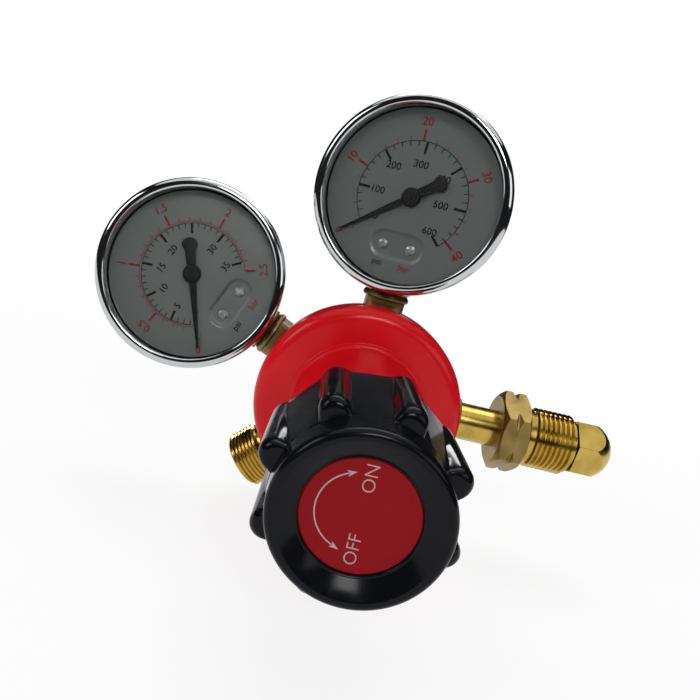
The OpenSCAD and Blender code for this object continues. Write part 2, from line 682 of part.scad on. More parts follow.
// Pressed steel cup, open at the front, slotted for the socket
module gauge_case() color("lightgray") difference() {
    rotate_extrude() polygon(concat(
        [[0, -case_back], [case_r - case_corner, -case_back]],
        arc([case_r - case_corner, -case_back + case_corner], case_corner, -90, 0, 5),
        [[case_r, case_front], [case_r - case_wall, case_front]],
        arc([case_r - case_corner, -case_back + case_corner], case_corner - case_wall, 0, -90, 5),
        [[0, -case_back + case_wall]]));
    square_bar(14 + 2 * fit, 14 + 2 * fit, 1.2, -case_r - 2, -case_r + 8);
    for (x = [-case_screw_x, case_screw_x]) translate([x, case_screw_y, -case_back - 1]) cylinder(r = 1.3, h = 3, $fn = 32);
}

// Pan-headed screws that hold the case to the socket from behind
module gauge_case_screws() color(steel) for (x = [-case_screw_x, case_screw_x])
    translate([x, case_screw_y, -case_back]) difference() {
        union() {
            cylinder(r = 1.2, h = 4, $fn = 32);
            mirror([0, 0, 1]) rotate_extrude($fn = 48) polygon([[0, 0], [2.4, 0], [2.2, 0.9], [1.4, 1.4], [0, 1.55]]);
        }
        for (turn = [0, 90]) rotate(turn) translate([-1.5, -0.25, -2]) cube([3, 0.5, 1]);
    }

module gauge_bezel() color("gainsboro") rotate_extrude() polygon(concat(
    [[case_r + fit, bezel_rear]],
    arc([bezel_r - 1.2, bezel_rear + 1.2], 1.2, -90, 0, 3),
    arc([bezel_r - 2.2, bezel_front - 2.2], 2.2, 0, 90, 6),
    [[window_r + 0.3, bezel_front - 0.4], [window_r, bezel_front - 0.8],
        [window_r, case_front + lens_t], [case_r + fit, case_front + lens_t]]));

module gauge_lens() color("lightcyan", 0.4) translate([0, 0, case_front]) cylinder(r = case_r - 0.1, h = lens_t - 0.02);

// A slot with round ends over the two dial screws
module recess_outline(r) translate([0, recess_y])
    polygon(concat(arc([dial_screw_x - 0.3, 0], r, -90, 90, 12), arc([0.3 - dial_screw_x, 0], r, 90, 270, 12)));

// Thin plate with a pressed tray that stands on the movement's posts
module gauge_dial(zero) color("silver") difference() {
    union() {
        translate([0, 0, dial_front - dial_t]) cylinder(r = dial_r, h = dial_t);
        translate([0, 0, dial_z]) linear_extrude(dial_front - dial_z - 0.1) recess_outline(recess_r + recess_wall);
        // Stop pin that the pointer rests on
        rotate(-90 - zero) translate([stop_x, stop_y, dial_front - dial_t])
            cylinder(r = stop_r, h = hub_z + 0.8 - dial_front + dial_t, $fn = 24);
    }
    translate([0, 0, tray_floor]) linear_extrude(2) recess_outline(recess_r);
    translate([0, 0, dial_z - 1]) cylinder(r = 2, h = 3);
    for (x = [-dial_screw_x, dial_screw_x]) translate([x, dial_screw_y, dial_z - 1]) cylinder(r = 1.05, h = 3, $fn = 32);
}

module gauge_dial_screws() color(steel) for (x = [-dial_screw_x, dial_screw_x]) translate([x, dial_screw_y, 0]) difference() {
    union() {
        translate([0, 0, dial_z - 1.4]) cylinder(r = 1, h = tray_floor - dial_z + 1.4, $fn = 32);
        translate([0, 0, tray_floor]) rotate_extrude($fn = 48) polygon([[0, 0], [1.85, 0], [1.7, 0.6], [1, 0.95], [0, 1.05]]);
    }
    for (turn = [0, 90]) rotate(turn) translate([-1.2, -0.22, tray_floor + 0.5]) cube([2.4, 0.44, 1]);
}

// Tapered needle with a round counterweight, resting at zero
module gauge_pointer(zero) color("black") rotate(-90 - zero) difference() {
    union() {
        translate([0, 0, hub_z]) linear_extrude(0.5) {
            polygon([[0, 1.7], [pointer_l, 0.2], [pointer_l, -0.2], [0, -1.7], [0, -1.5], [-9, -2], [-9, 2], [0, 1.5]]);
            translate([-counterweight_l, 0]) circle(r = 2.5, $fn = 48);
        }
        translate([0, 0, hub_z - 0.7]) cylinder(r = 3.4, h = 2.4);
    }
    translate([0, 0, hub_z - 2]) cylinder(r = arbor_r + fit, h = 3.1, $fn = 32);
}

function tooth(pitch_r, step, centre) = [polar(pitch_r - 1.2 * tooth_module, centre + 0.3 * step),
    polar(pitch_r + 0.75 * tooth_module, centre + 0.1 * step),
    polar(pitch_r + 0.75 * tooth_module, centre - 0.1 * step),
    polar(pitch_r - 1.2 * tooth_module, centre - 0.3 * step)];

module gauge_pinion() color(brass) {
    step = 360 / pinion_teeth;
    translate([0, 0, -0.8]) linear_extrude(2.6)
        polygon([for (i = [pinion_teeth - 1:-1:0]) each tooth(pinion_r, step, -90 + i * step)]);
    translate([0, 0, back_plate_z + 0.1]) cylinder(r = arbor_r, h = hub_z + 1 - back_plate_z - 0.1, $fn = 32);
}

module gauge_sector_gear() color(brass) translate([0, sector_y, 0]) {
    first = -1.5;
    count = ceil(sector_swing / sector_step) + 4;
    last_angle = 90 - (first + count - 0.5) * sector_step;
    rim_in = sector_r - 4.4 * tooth_module;
    linear_extrude(sector_t) difference() {
        union() {
            polygon(concat(
                [for (i = [0:count - 1]) each tooth(sector_r, sector_step, 90 - (first + i) * sector_step)],
                [for (i = [0:12]) polar(rim_in, last_angle + (90 - (first - 0.5) * sector_step - last_angle) * i / 12)]));
            for (t = [90 - (first + 0.5) * sector_step, last_angle + 3]) rotate(t) translate([0, -1.1]) square([rim_in + 0.8, 2.2]);
            circle(r = 2.4, $fn = 48);
            rotate(tail_angle) translate([0, -1.1]) square([tail_l, 2.2]);
            translate(polar(tail_l, tail_angle)) circle(r = eye_r, $fn = 32);
        }
        rotate((90 + last_angle) / 2) translate([rim_in / 2 + 1, 0]) circle(r = 1.4, $fn = 32);
    }
    translate([0, 0, back_plate_z + 0.1]) cylinder(r = sector_arbor_r, h = front_plate_z + sheet_t - back_plate_z - 0.2, $fn = 32);
    translate(concat(polar(tail_l, tail_angle), sector_t)) cylinder(r = link_pin_r, h = 1.2, $fn = 24);
}

// Flat bar between the sector's tail and the tube's tip
module gauge_link() color(steel) {
    run = tip_pin - tail_pin;
    translate([tail_pin[0], tail_pin[1], link_z]) rotate(atan2(run[1], run[0])) linear_extrude(0.6) difference() {
        union() {
            translate([0, -0.8]) square([norm(run), 1.6]);
            circle(r = eye_r, $fn = 32);
            translate([norm(run), 0]) circle(r = eye_r + link_play, $fn = 32);
        }
        circle(r = link_pin_r + fit, $fn = 24);
        translate([norm(run), 0]) circle(r = link_pin_r + link_play, $fn = 24);
    }
}

// The C of the flattened tube
module bourdon_section(grow = 0)
    rotate(tube_start) rotate_extrude(angle = tube_sweep) translate([tube_r, tube_z]) {
        square([tube_w + 2 * grow, tube_h - tube_w], center = true);
        for (side = [-1, 1]) translate([0, side * (tube_h - tube_w) / 2]) circle(r = tube_w / 2 + grow, $fn = 32);
    }

module gauge_bourdon_tube() color("peru") bourdon_section();

// Cap that closes the tube's free end, with an ear and a pin for the link
module gauge_tube_tip() color(brass) rotate(tip_angle) {
    translate([tube_r - tube_w / 2 - 0.7, -tip_l, tube_z - tube_h / 2 - 0.5])
        cube([tube_w + 1.4, tip_l, tube_h + 1]);
    ear_x = tube_r - tube_w / 2 - tip_pin_in;
    translate([ear_x, -tip_l / 2, link_z - 1.5]) {
        translate([0, -tip_l / 2, 0]) cube([tip_pin_in, tip_l, 1.2]);
        cylinder(r = tip_l / 2, h = 1.2, $fn = 32);
        cylinder(r = link_pin_r, h = 2.5, $fn = 24);
    }
    translate([tube_r - tube_w / 2 - 0.7, -tip_l, tube_z + tube_h / 2]) cube([tube_w, tip_l, link_z - 0.3 - tube_z - tube_h / 2]);
}

module plate_outline() {
    low = sector_y - 4.4;
    polygon([[-7, low + 2.4], [-4.6, low], [4.6, low], [7, low + 2.4], [7, low + 6], [6, low + 8],
        [6, 4], [4.4, 5.6], [-4.4, 5.6], [-6, 4], [-6, low + 8], [-7, low + 6]]);
}

module gauge_back_plate() color(brass) translate([0, 0, back_plate_z]) linear_extrude(sheet_t) difference() {
    plate_outline();
    circle(r = arbor_r + fit, $fn = 32);
    translate([0, sector_y]) circle(r = sector_arbor_r + fit, $fn = 32);
}

module gauge_front_plate() color(brass) {
    translate([0, 0, front_plate_z]) linear_extrude(sheet_t) difference() {
        plate_outline();
        circle(r = arbor_r + fit, $fn = 32);
        translate([0, sector_y]) circle(r = sector_arbor_r + fit, $fn = 32);
    }
    for (p = pillars) translate([p[0], p[1], back_plate_z + sheet_t]) cylinder(r = 0.9, h = front_plate_z - back_plate_z - sheet_t, $fn = 32);
    // Posts that carry the dial
    for (x = [-dial_screw_x, dial_screw_x]) translate([x, dial_screw_y, front_plate_z + sheet_t]) difference() {
        cylinder(r = 2, h = dial_z - front_plate_z - sheet_t, $fn = 32);
        translate([0, 0, 0.5]) cylinder(r = 1 + fit, h = 5, $fn = 32);
    }
}

placed() body();
placed() bonnet();
placed() diaphragm();
placed() slip_ring();
placed() diaphragm_plate();
placed() diaphragm_button();
placed() main_spring();
placed() spring_button();
placed() thrust_ball();
placed() adjusting_screw();
placed() knob();
placed() knob_disc();
placed() valve_nozzle();
placed() valve_poppet();
placed() seat_insert();
placed() push_pin();
placed() poppet_spring();
placed() inlet_stem();
placed() inlet_filter();
placed() inlet_nut();
placed() outlet_connector();
placed() relief_body();
placed() relief_poppet();
placed() relief_spring();
placed() relief_cap();
high_gauge() gauge_socket();  // high_gauge_socket
high_gauge() gauge_case();  // high_gauge_case
high_gauge() gauge_bezel();  // high_gauge_bezel
high_gauge() gauge_lens();  // high_gauge_lens
high_gauge() gauge_dial(high_zero_angle);  // high_gauge_dial
high_gauge() gauge_dial_screws();  // high_gauge_dial_screws
high_gauge() gauge_pointer(high_zero_angle);  // high_gauge_pointer
high_gauge() gauge_pinion();  // high_gauge_pinion
high_gauge() gauge_sector_gear();  // high_gauge_sector_gear
high_gauge() gauge_link();  // high_gauge_link
high_gauge() gauge_bourdon_tube();  // high_gauge_bourdon_tube
high_gauge() gauge_tube_tip();  // high_gauge_tube_tip
high_gauge() gauge_case_screws();  // high_gauge_case_screws
high_gauge() gauge_back_plate();  // high_gauge_back_plate
high_gauge() gauge_front_plate();  // high_gauge_front_plate
low_gauge() gauge_socket();  // low_gauge_socket
low_gauge() gauge_case();  // low_gauge_case
low_gauge() gauge_bezel();  // low_gauge_bezel
low_gauge() gauge_lens();  // low_gauge_lens
low_gauge() gauge_dial(low_zero_angle);  // low_gauge_dial
low_gauge() gauge_dial_screws();  // low_gauge_dial_screws
low_gauge() gauge_pointer(low_zero_angle);  // low_gauge_pointer
low_gauge() gauge_pinion();  // low_gauge_pinion
low_gauge() gauge_sector_gear();  // low_gauge_sector_gear
low_gauge() gauge_link();  // low_gauge_link
low_gauge() gauge_bourdon_tube();  // low_gauge_bourdon_tube
low_gauge() gauge_tube_tip();  // low_gauge_tube_tip
low_gauge() gauge_case_screws();  // low_gauge_case_screws
low_gauge() gauge_back_plate();  // low_gauge_back_plate
low_gauge() gauge_front_plate();  // low_gauge_front_plate
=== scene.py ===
import math
import bpy
from mathutils import Matrix, Vector


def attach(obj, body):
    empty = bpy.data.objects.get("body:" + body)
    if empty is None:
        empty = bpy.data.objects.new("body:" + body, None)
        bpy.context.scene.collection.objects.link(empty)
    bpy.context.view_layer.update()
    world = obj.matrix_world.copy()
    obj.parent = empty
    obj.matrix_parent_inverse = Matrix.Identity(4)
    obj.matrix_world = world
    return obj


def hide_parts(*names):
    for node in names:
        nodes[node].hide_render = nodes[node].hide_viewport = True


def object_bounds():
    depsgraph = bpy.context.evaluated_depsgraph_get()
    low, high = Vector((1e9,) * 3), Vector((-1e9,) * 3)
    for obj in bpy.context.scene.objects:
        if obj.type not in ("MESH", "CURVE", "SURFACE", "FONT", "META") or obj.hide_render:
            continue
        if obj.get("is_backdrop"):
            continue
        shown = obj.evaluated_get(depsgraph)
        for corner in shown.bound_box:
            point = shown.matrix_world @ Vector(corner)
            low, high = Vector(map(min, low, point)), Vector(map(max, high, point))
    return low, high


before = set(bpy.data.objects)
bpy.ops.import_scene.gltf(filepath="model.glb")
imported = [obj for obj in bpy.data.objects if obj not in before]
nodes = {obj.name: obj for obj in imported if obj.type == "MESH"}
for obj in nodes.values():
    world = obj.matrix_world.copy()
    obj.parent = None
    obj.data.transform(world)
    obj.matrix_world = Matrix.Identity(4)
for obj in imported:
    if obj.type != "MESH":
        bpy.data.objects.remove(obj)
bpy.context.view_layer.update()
mm = 0.001

# The regulator is laid out with its knob axis along +Z, gauges towards +Y and inlet towards +X
layout = {
    "inletToAxis": 75 * mm,
    "highGaugeAngle": 3, "highGaugeTurn": -14,
    "lowGaugeAngle": -65.5, "lowGaugeTurn": 10,
    "inletAngle": 90, "outletAngle": -134.5,
    "gaugeOffset": 77 * mm,
}
camera = {
    "place": (-93.1, -246.02, 64.92),  # mm
    "right": (0.97342, 0.08058, 0.21439),
    "up": (-0.22577, 0.18012, 0.95738),
    "lens": 33.577, "shiftX": 0.0793, "shiftY": -0.0151,
}


def addCamera():
    data = bpy.data.cameras.new("camera")
    data.lens = camera["lens"]
    data.sensor_width = 36
    data.shift_x = camera["shiftX"]
    data.shift_y = camera["shiftY"]
    data.clip_start = 0.01
    right, up = Vector(camera["right"]).normalized(), Vector(camera["up"]).normalized()
    back = right.cross(up)
    turn = Matrix((right, back.cross(right), back)).transposed().to_4x4()
    eye = bpy.data.objects.new("camera", data)
    eye.matrix_world = Matrix.Translation(Vector(camera["place"]) * mm) @ turn
    bpy.context.scene.collection.objects.link(eye)
    bpy.context.scene.camera = eye


addCamera()
print("camera set")

regulatorFrame = (Matrix.Translation((-layout["inletToAxis"], 0, 0))
                  @ Matrix.Rotation(math.radians(90), 4, "X"))


def portFrame(angle):  # +Y runs out along a port, the angle is clockwise from straight up
    return regulatorFrame @ Matrix.Rotation(-math.radians(angle), 4, "Z")


def gaugeFrame(side):  # +Z is the dial's normal, -Y points down the stem
    return (portFrame(layout[side + "GaugeAngle"]) @ Matrix.Translation((0, layout["gaugeOffset"], 0))
            @ Matrix.Rotation(math.radians(layout[side + "GaugeTurn"]), 4, "Y"))


def linear(hexColour):  # an sRGB hex colour as Blender's linear numbers
    parts = [int(hexColour[i:i + 2], 16) / 255 for i in (0, 2, 4)]
    return [p / 12.92 if p <= 0.04045 else ((p + 0.055) / 1.055) ** 2.4 for p in parts] + [1.0]


def addNode(tree, kind, settings=None, links=None):
    new = tree.nodes.new("ShaderNode" + kind)
    for name, value in (settings or {}).items():
        if name in new.inputs:
            new.inputs[name].default_value = value
        else:
            setattr(new, name, value)
    for name, source in (links or {}).items():
        tree.links.new(new.inputs[name], source)
    return new


def startMaterial(name, colour, metallic, roughness, **more):
    made = bpy.data.materials.new(name)
    made.use_nodes = True
    tree = made.node_tree
    tree.nodes.clear()
    settings = {"Base Color": linear(colour), "Metallic": metallic, "Roughness": roughness}
    settings.update(more)
    shader = addNode(tree, "BsdfPrincipled", settings)
    addNode(tree, "OutputMaterial", None, {"Surface": shader.outputs["BSDF"]})
    place = addNode(tree, "TexCoord").outputs["Object"]
    return made, tree, shader, place


def ramp(tree, fac, low, high, colours):
    made = addNode(tree, "ValToRGB", None, {"Fac": fac})
    for stop, at, colour in zip(made.color_ramp.elements, (low, high), colours):
        stop.position = at
        stop.color = linear(colour)
    return made.outputs["Color"]


def remap(tree, value, fromMin, fromMax, toMin, toMax):
    limits = {"From Min": fromMin, "From Max": fromMax, "To Min": toMin, "To Max": toMax}
    return addNode(tree, "MapRange", limits, {"Value": value}).outputs["Result"]


# Gloss enamel, sprayed and baked on the bonnet: deep red, wet shine, a faint orange peel
def makeRedEnamel():
    made, tree, shader, place = startMaterial("redEnamelGloss", "C8141E", 0, 0.2, IOR=1.5)
    shader.inputs["Specular IOR Level"].default_value = 0.2
    peel = addNode(tree, "TexNoise", {"Scale": 450, "Detail": 2}, {"Vector": place})  # waves about 2 mm apart
    tint = addNode(tree, "TexNoise", {"Scale": 40, "Detail": 3}, {"Vector": place})
    tree.links.new(shader.inputs["Base Color"],
                   ramp(tree, tint.outputs["Fac"], 0.3, 0.7, ["BC0A14", "CA101A"]))
    bump = addNode(tree, "Bump", {"Strength": 0.05, "Distance": 0.0002}, {"Height": peel.outputs["Fac"]})
    tree.links.new(shader.inputs["Normal"], bump.outputs["Normal"])
    return made


# Injection-moulded gloss ABS: near black, polished tool finish with faint handling haze
def makeBlackAbs():
    made, tree, shader, place = startMaterial("blackAbsMoulded", "0C0D12", 0, 0.2, IOR=1.53)
    shader.inputs["Specular IOR Level"].default_value = 0.12
    haze = addNode(tree, "TexNoise", {"Scale": 160, "Detail": 4}, {"Vector": place})
    tree.links.new(shader.inputs["Roughness"], remap(tree, haze.outputs["Fac"], 0.35, 0.7, 0.1, 0.2))
    ripple = addNode(tree, "TexNoise", {"Scale": 120, "Detail": 1}, {"Vector": place})
    bump = addNode(tree, "Bump", {"Strength": 0.04, "Distance": 0.0003}, {"Height": ripple.outputs["Fac"]})
    tree.links.new(shader.inputs["Normal"], bump.outputs["Normal"])
    return made


# Free-cutting brass straight off the lathe: yellow, with fine rings round the turned axis
def makeTurnedBrass(name, axisTurn):
    made, tree, shader, place = startMaterial(name, "BC9E4E", 1, 0.2)
    lay = addNode(tree, "Mapping", {"Rotation": axisTurn}, {"Vector": place})
    along = addNode(tree, "SeparateXYZ", None, {"Vector": lay.outputs["Vector"]}).outputs["X"]
    feed = {"noise_dimensions": "1D", "Scale": 2600, "Detail": 3}  # rings 0.4 mm apart
    rings = addNode(tree, "TexNoise", feed, {"W": along})
    stain = addNode(tree, "TexNoise", {"Scale": 130, "Detail": 4}, {"Vector": place})
    tree.links.new(shader.inputs["Base Color"],
                   ramp(tree, stain.outputs["Fac"], 0.3, 0.7, ["A68A3E", "CDB05C"]))
    tree.links.new(shader.inputs["Roughness"], remap(tree, stain.outputs["Fac"], 0.3, 0.75, 0.14, 0.28))
    bump = addNode(tree, "Bump", {"Strength": 0.25, "Distance": 0.00002}, {"Height": rings.outputs["Fac"]})
    tree.links.new(shader.inputs["Normal"], bump.outputs["Normal"])
    return made


# Hot-forged brass, shot-blasted: dull, slightly grainy, browner in random patches
def makeForgedBrass(name, colour, darkColour, roughness):
    made, tree, shader, place = startMaterial(name, colour, 1, roughness)
    grit = addNode(tree, "TexNoise", {"Scale": 1800, "Detail": 2}, {"Vector": place})
    stain = addNode(tree, "TexNoise", {"Scale": 90, "Detail": 5}, {"Vector": place})
    tree.links.new(shader.inputs["Base Color"],
                   ramp(tree, stain.outputs["Fac"], 0.3, 0.7, [darkColour, colour]))
    tree.links.new(shader.inputs["Roughness"],
                   remap(tree, grit.outputs["Fac"], 0.3, 0.7, roughness - 0.05, roughness + 0.1))
    bump = addNode(tree, "Bump", {"Strength": 0.3, "Distance": 0.00005}, {"Height": grit.outputs["Fac"]})
    tree.links.new(shader.inputs["Normal"], bump.outputs["Normal"])
    return made


# Bright chromium plate on pressed or turned metal: mirror, slightly cool, a few soft ripples
def makeChromePlate():
    made, tree, shader, place = startMaterial("chromePlate", "C4C6C8", 1, 0.07)
    haze = addNode(tree, "TexNoise", {"Scale": 60, "Detail": 3}, {"Vector": place})
    tree.links.new(shader.inputs["Roughness"], remap(tree, haze.outputs["Fac"], 0.35, 0.7, 0.05, 0.13))
    ripple = addNode(tree, "TexNoise", {"Scale": 70, "Detail": 1}, {"Vector": place})
    bump = addNode(tree, "Bump", {"Strength": 0.05, "Distance": 0.0004}, {"Height": ripple.outputs["Fac"]})
    tree.links.new(shader.inputs["Normal"], bump.outputs["Normal"])
    return made


# Zinc-plated steel, as on screws and springs: grey, softly shiny
def makeZincSteel():
    made, tree, shader, place = startMaterial("zincPlatedSteel", "6C6E70", 1, 0.26)
    haze = addNode(tree, "TexNoise", {"Scale": 400, "Detail": 3}, {"Vector": place})
    tree.links.new(shader.inputs["Roughness"], remap(tree, haze.outputs["Fac"], 0.3, 0.7, 0.2, 0.34))
    return made


# Aluminium dial under silver-grey satin lacquer: fine flake, no mirror
def makeDialLacquer():
    made, tree, shader, place = startMaterial("silverDialLacquer", "444846", 0.5, 0.34, IOR=1.48)
    shader.inputs["Specular IOR Level"].default_value = 0.2
    flake = addNode(tree, "TexNoise", {"Scale": 2500, "Detail": 2}, {"Vector": place})
    tree.links.new(shader.inputs["Base Color"],
                   ramp(tree, flake.outputs["Fac"], 0.3, 0.7, ["3F4342", "4B4F4C"]))
    return made


# Printing ink and stoved paint: flat colour with a slight grain
def makeInk(name, colour, lightColour, roughness):
    made, tree, shader, place = startMaterial(name, colour, 0, roughness)
    shader.inputs["Specular IOR Level"].default_value = 0.06
    grain = addNode(tree, "TexNoise", {"Scale": 3000, "Detail": 2}, {"Vector": place})
    tree.links.new(shader.inputs["Base Color"],
                   ramp(tree, grain.outputs["Fac"], 0.35, 0.75, [colour, lightColour]))
    return made


# Flat window glass: clear, and lets the lamps through to the dial
# Its index is below real glass, which keeps the white surround from veiling the dial
def makeWindowGlass():
    made, tree, shader, _ = startMaterial("windowGlass", "FFFFFF", 0, 0, IOR=1.15)
    shader.inputs["Transmission Weight"].default_value = 1
    path = addNode(tree, "LightPath")
    clear = addNode(tree, "BsdfTransparent")
    mix = addNode(tree, "MixShader", None, {"Fac": path.outputs["Is Shadow Ray"]})
    tree.links.new(mix.inputs[1], shader.outputs["BSDF"])
    tree.links.new(mix.inputs[2], clear.outputs["BSDF"])
    output = [n for n in tree.nodes if n.type == "OUTPUT_MATERIAL"][0]
    tree.links.new(output.inputs["Surface"], mix.outputs["Shader"])
    return made


redEnamel = makeRedEnamel()
blackAbs = makeBlackAbs()
brassAlongX = makeTurnedBrass("turnedBrassInlet", (0, 0, 0))
brassOutlet = makeTurnedBrass("turnedBrassOutlet", (0, math.radians(-44.5), 0))
brassInside = makeTurnedBrass("turnedBrassInside", (0, 0, math.radians(90)))
forgedBrass = makeForgedBrass("forgedBrass", "8E7A52", "5E4830", 0.42)
nutBrass = makeForgedBrass("tumbledBrass", "A48C54", "84703E", 0.4)
chromePlate = makeChromePlate()
zincSteel = makeZincSteel()
dialLacquer = makeDialLacquer()
blackInk = makeInk("blackPrintInk", "040404", "0C0C0C", 0.6)
redInk = makeInk("redPrintInk", "581018", "62161E", 0.6)
whiteInk = makeInk("silverPrintInk", "AC9090", "B8A09E", 0.5)
needlePaint = makeInk("blackNeedlePaint", "08080A", "121214", 0.35)
discFilm = makeInk("redDiscFilm", "801018", "8C141C", 0.22)
blackRubber = makeInk("blackNitrileRubber", "121212", "1C1C1C", 0.6)
ivoryNylon = makeInk("ivoryNylon", "E6DEC6", "EDE6D2", 0.4)
sinteredBronze = makeForgedBrass("sinteredBronze", "A9743A", "6E4520", 0.55)
windowGlass = makeWindowGlass()
print("materials made")

cadFinishes = {  # by the end of a node's name; all others are turned brass
    "bonnet": redEnamel, "knob": blackAbs, "knob_disc": discFilm,
    "body": forgedBrass, "socket": forgedBrass, "inlet_stem": brassAlongX, "inlet_nut": nutBrass,
    "outlet_connector": brassOutlet, "inlet_filter": sinteredBronze, "bourdon_tube": sinteredBronze,
    "diaphragm": blackRubber, "seat_insert": ivoryNylon, "case": chromePlate, "bezel": chromePlate,
    "lens": windowGlass, "dial": dialLacquer, "pointer": needlePaint,
    "screw": zincSteel, "screws": zincSteel, "spring": zincSteel, "ball": zincSteel, "push_pin": zincSteel,
    "link": zincSteel,
}

for name, node in nodes.items():
    fitting = [finish for ending, finish in cadFinishes.items() if name.endswith(ending)]
    node.data.materials.clear()
    node.data.materials.append(fitting[0] if fitting else brassInside)
print("CAD nodes finished")


def activate(piece):
    bpy.ops.object.select_all(action="DESELECT")
    piece.select_set(True)
    bpy.context.view_layer.objects.active = piece


def openMesh(piece):  # edit mode, with everything selected
    activate(piece)
    bpy.ops.object.mode_set(mode="EDIT")
    bpy.ops.mesh.select_mode(type="VERT")
    bpy.ops.mesh.select_all(action="SELECT")


def closeMesh():
    bpy.ops.object.mode_set(mode="OBJECT")


def applyTurn(piece, axis, degrees):
    activate(piece)
    piece.rotation_euler["XYZ".index(axis)] = math.radians(degrees)
    bpy.ops.object.transform_apply(location=False, rotation=True, scale=False)


def drawLine(name, points):  # a chain of edges through points in mm, pulled out of one vertex
    bpy.ops.mesh.primitive_plane_add(size=mm)
    piece = bpy.context.object
    piece.name = name
    openMesh(piece)
    bpy.ops.mesh.merge(type="CENTER")
    bpy.ops.transform.translate(value=Vector(points[0]) * mm)
    for start, end in zip(points, points[1:]):
        move = (Vector(end) - Vector(start)) * mm
        bpy.ops.mesh.extrude_region_move(TRANSFORM_OT_translate={"value": move})
    bpy.ops.mesh.select_all(action="SELECT")
    bpy.ops.mesh.remove_doubles(threshold=0.001 * mm)
    closeMesh()
    return piece


def drawProfile(name, points):  # a chain of [radius, height] points
    return drawLine(name, [(radius, 0, height) for radius, height in points])


def useModifier(piece, kind, **settings):
    activate(piece)
    added = piece.modifiers.new(kind.lower(), kind)
    for name, value in settings.items():
        setattr(added, name, value)
    bpy.ops.object.modifier_apply(modifier=added.name)


def cleanMesh(piece):
    openMesh(piece)
    bpy.ops.mesh.remove_doubles(threshold=0.002 * mm)
    bpy.ops.mesh.normals_make_consistent(inside=False)
    closeMesh()


def turnProfile(name, points, steps):  # a lathe-turned piece about Z
    piece = drawProfile(name, points)
    useModifier(piece, "SCREW", angle=math.tau, steps=steps, render_steps=steps, use_merge_vertices=True,
                merge_threshold=0.001 * mm)
    cleanMesh(piece)
    return piece


def arc(centre, radius, start, end, steps):
    turns = [math.radians(start + (end - start) * i / steps) for i in range(steps + 1)]
    return [(centre[0] + radius * math.cos(t), centre[1] + radius * math.sin(t)) for t in turns]


def soften(piece, width, segments=2, limit=30):
    useModifier(piece, "BEVEL", width=width * mm, segments=segments, limit_method="ANGLE",
                angle_limit=math.radians(limit), harden_normals=False)


def cut(piece, tool, operation="DIFFERENCE"):
    useModifier(piece, "BOOLEAN", object=tool, operation=operation, solver="EXACT")
    bpy.data.objects.remove(tool)


def join(name, pieces):
    bpy.ops.object.select_all(action="DESELECT")
    for piece in pieces:
        piece.select_set(True)
    bpy.context.view_layer.objects.active = pieces[0]
    bpy.ops.object.join()
    pieces[0].name = name
    return pieces[0]


def copyPiece(name, piece):
    made = piece.copy()
    made.data = piece.data.copy()
    made.name = name
    bpy.context.scene.collection.objects.link(made)
    return made


def settle(piece, place, material, slotName, body, *replaced, smooth=32):
    activate(piece)
    piece.matrix_world = place
    bpy.ops.object.transform_apply(location=True, rotation=True, scale=True)
    bpy.ops.object.shade_smooth_by_angle(angle=math.radians(smooth))
    piece.data.materials.clear()
    piece.data.materials.append(material)
    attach(piece, body)
    if replaced:
        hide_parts(*replaced)


# Threads: both are left-hand, as on fuel gas fittings, with flat crests and chamfered ends
threadShape = {"hand": -1, "crestShare": 0.16, "flankShare": 0.84, "sunk": 0.4,
               "startSlope": 1.2, "endSlope": 0.8}


def makeRidge(root, crest, pitch, start, end):  # the crest of a thread, from its root out
    s = threadShape
    half, top, inside = pitch * s["flankShare"] / 2, pitch * s["crestShare"] / 2, root - s["sunk"]
    piece = drawProfile("ridge", [(inside, start - half), (root, start - half), (crest, start - top),
                                  (crest, start + top), (root, start + half), (inside, start + half),
                                  (inside, start - half)])
    turns = (end - start) / pitch
    whole = int(turns)
    useModifier(piece, "SCREW", angle=s["hand"] * math.tau * turns / whole,
                screw_offset=pitch * turns / whole * mm, iterations=whole, steps=72, render_steps=72,
                use_merge_vertices=True, merge_threshold=0.001 * mm)
    openMesh(piece)
    bpy.ops.mesh.remove_doubles(threshold=0.002 * mm)
    bpy.ops.mesh.fill_holes(sides=8)
    bpy.ops.mesh.normals_make_consistent(inside=False)
    closeMesh()
    return piece


def chamferRidge(piece, crest, first, last):  # pulls the ridge in before its first and past its last height
    s = threadShape
    for vertex in piece.data.vertices:
        height, radius = vertex.co.z / mm, math.hypot(vertex.co.x, vertex.co.y)
        allowed = crest - max(0, height - last) * s["endSlope"] - max(0, first - height) * s["startSlope"]
        if radius > allowed * mm:
            vertex.co.x *= allowed * mm / radius
            vertex.co.y *= allowed * mm / radius


def keepInHexagon(piece, s, middle):  # what lies within a hexagonal bar about Z
    bpy.ops.mesh.primitive_cylinder_add(vertices=6, radius=s["acrossFlats"] / 2 / math.cos(math.pi / 6) * mm,
                                        depth=s["bar"] * mm, location=(0, 0, middle * mm))
    bar = bpy.context.object
    applyTurn(bar, "Z", s["hexTurn"])
    soften(bar, s["barEdge"], s["barSteps"])
    cut(piece, bar, "INTERSECT")


# Bonnet: flange, tapered crown and neck, hollow for the diaphragm and the spring
bonnetShape = {
    "flange": 37.5, "skirtBottom": 9.5, "skirtEdge": 0.5, "front": 21, "edge": 5,
    "step": 25.2, "stepTop": 0.8, "stepRound": 0.3, "crownBase": 23.3, "crownFillet": 1.2, "crownLift": 2.3,
    "crownTop": 19.8, "shoulder": 52, "shoulderRound": 4,
    "neck": 11, "neckTop": 62, "neckFillet": 1, "neckEdge": 0.8,
    "skirtBore": 34, "ledge": 3.95, "chamber": 26.8, "chamberTop": 2.35, "springBore": 16.5, "roof": 1,
    "screwBore": 6, "vent": 1.25, "ventHeight": 8,
}


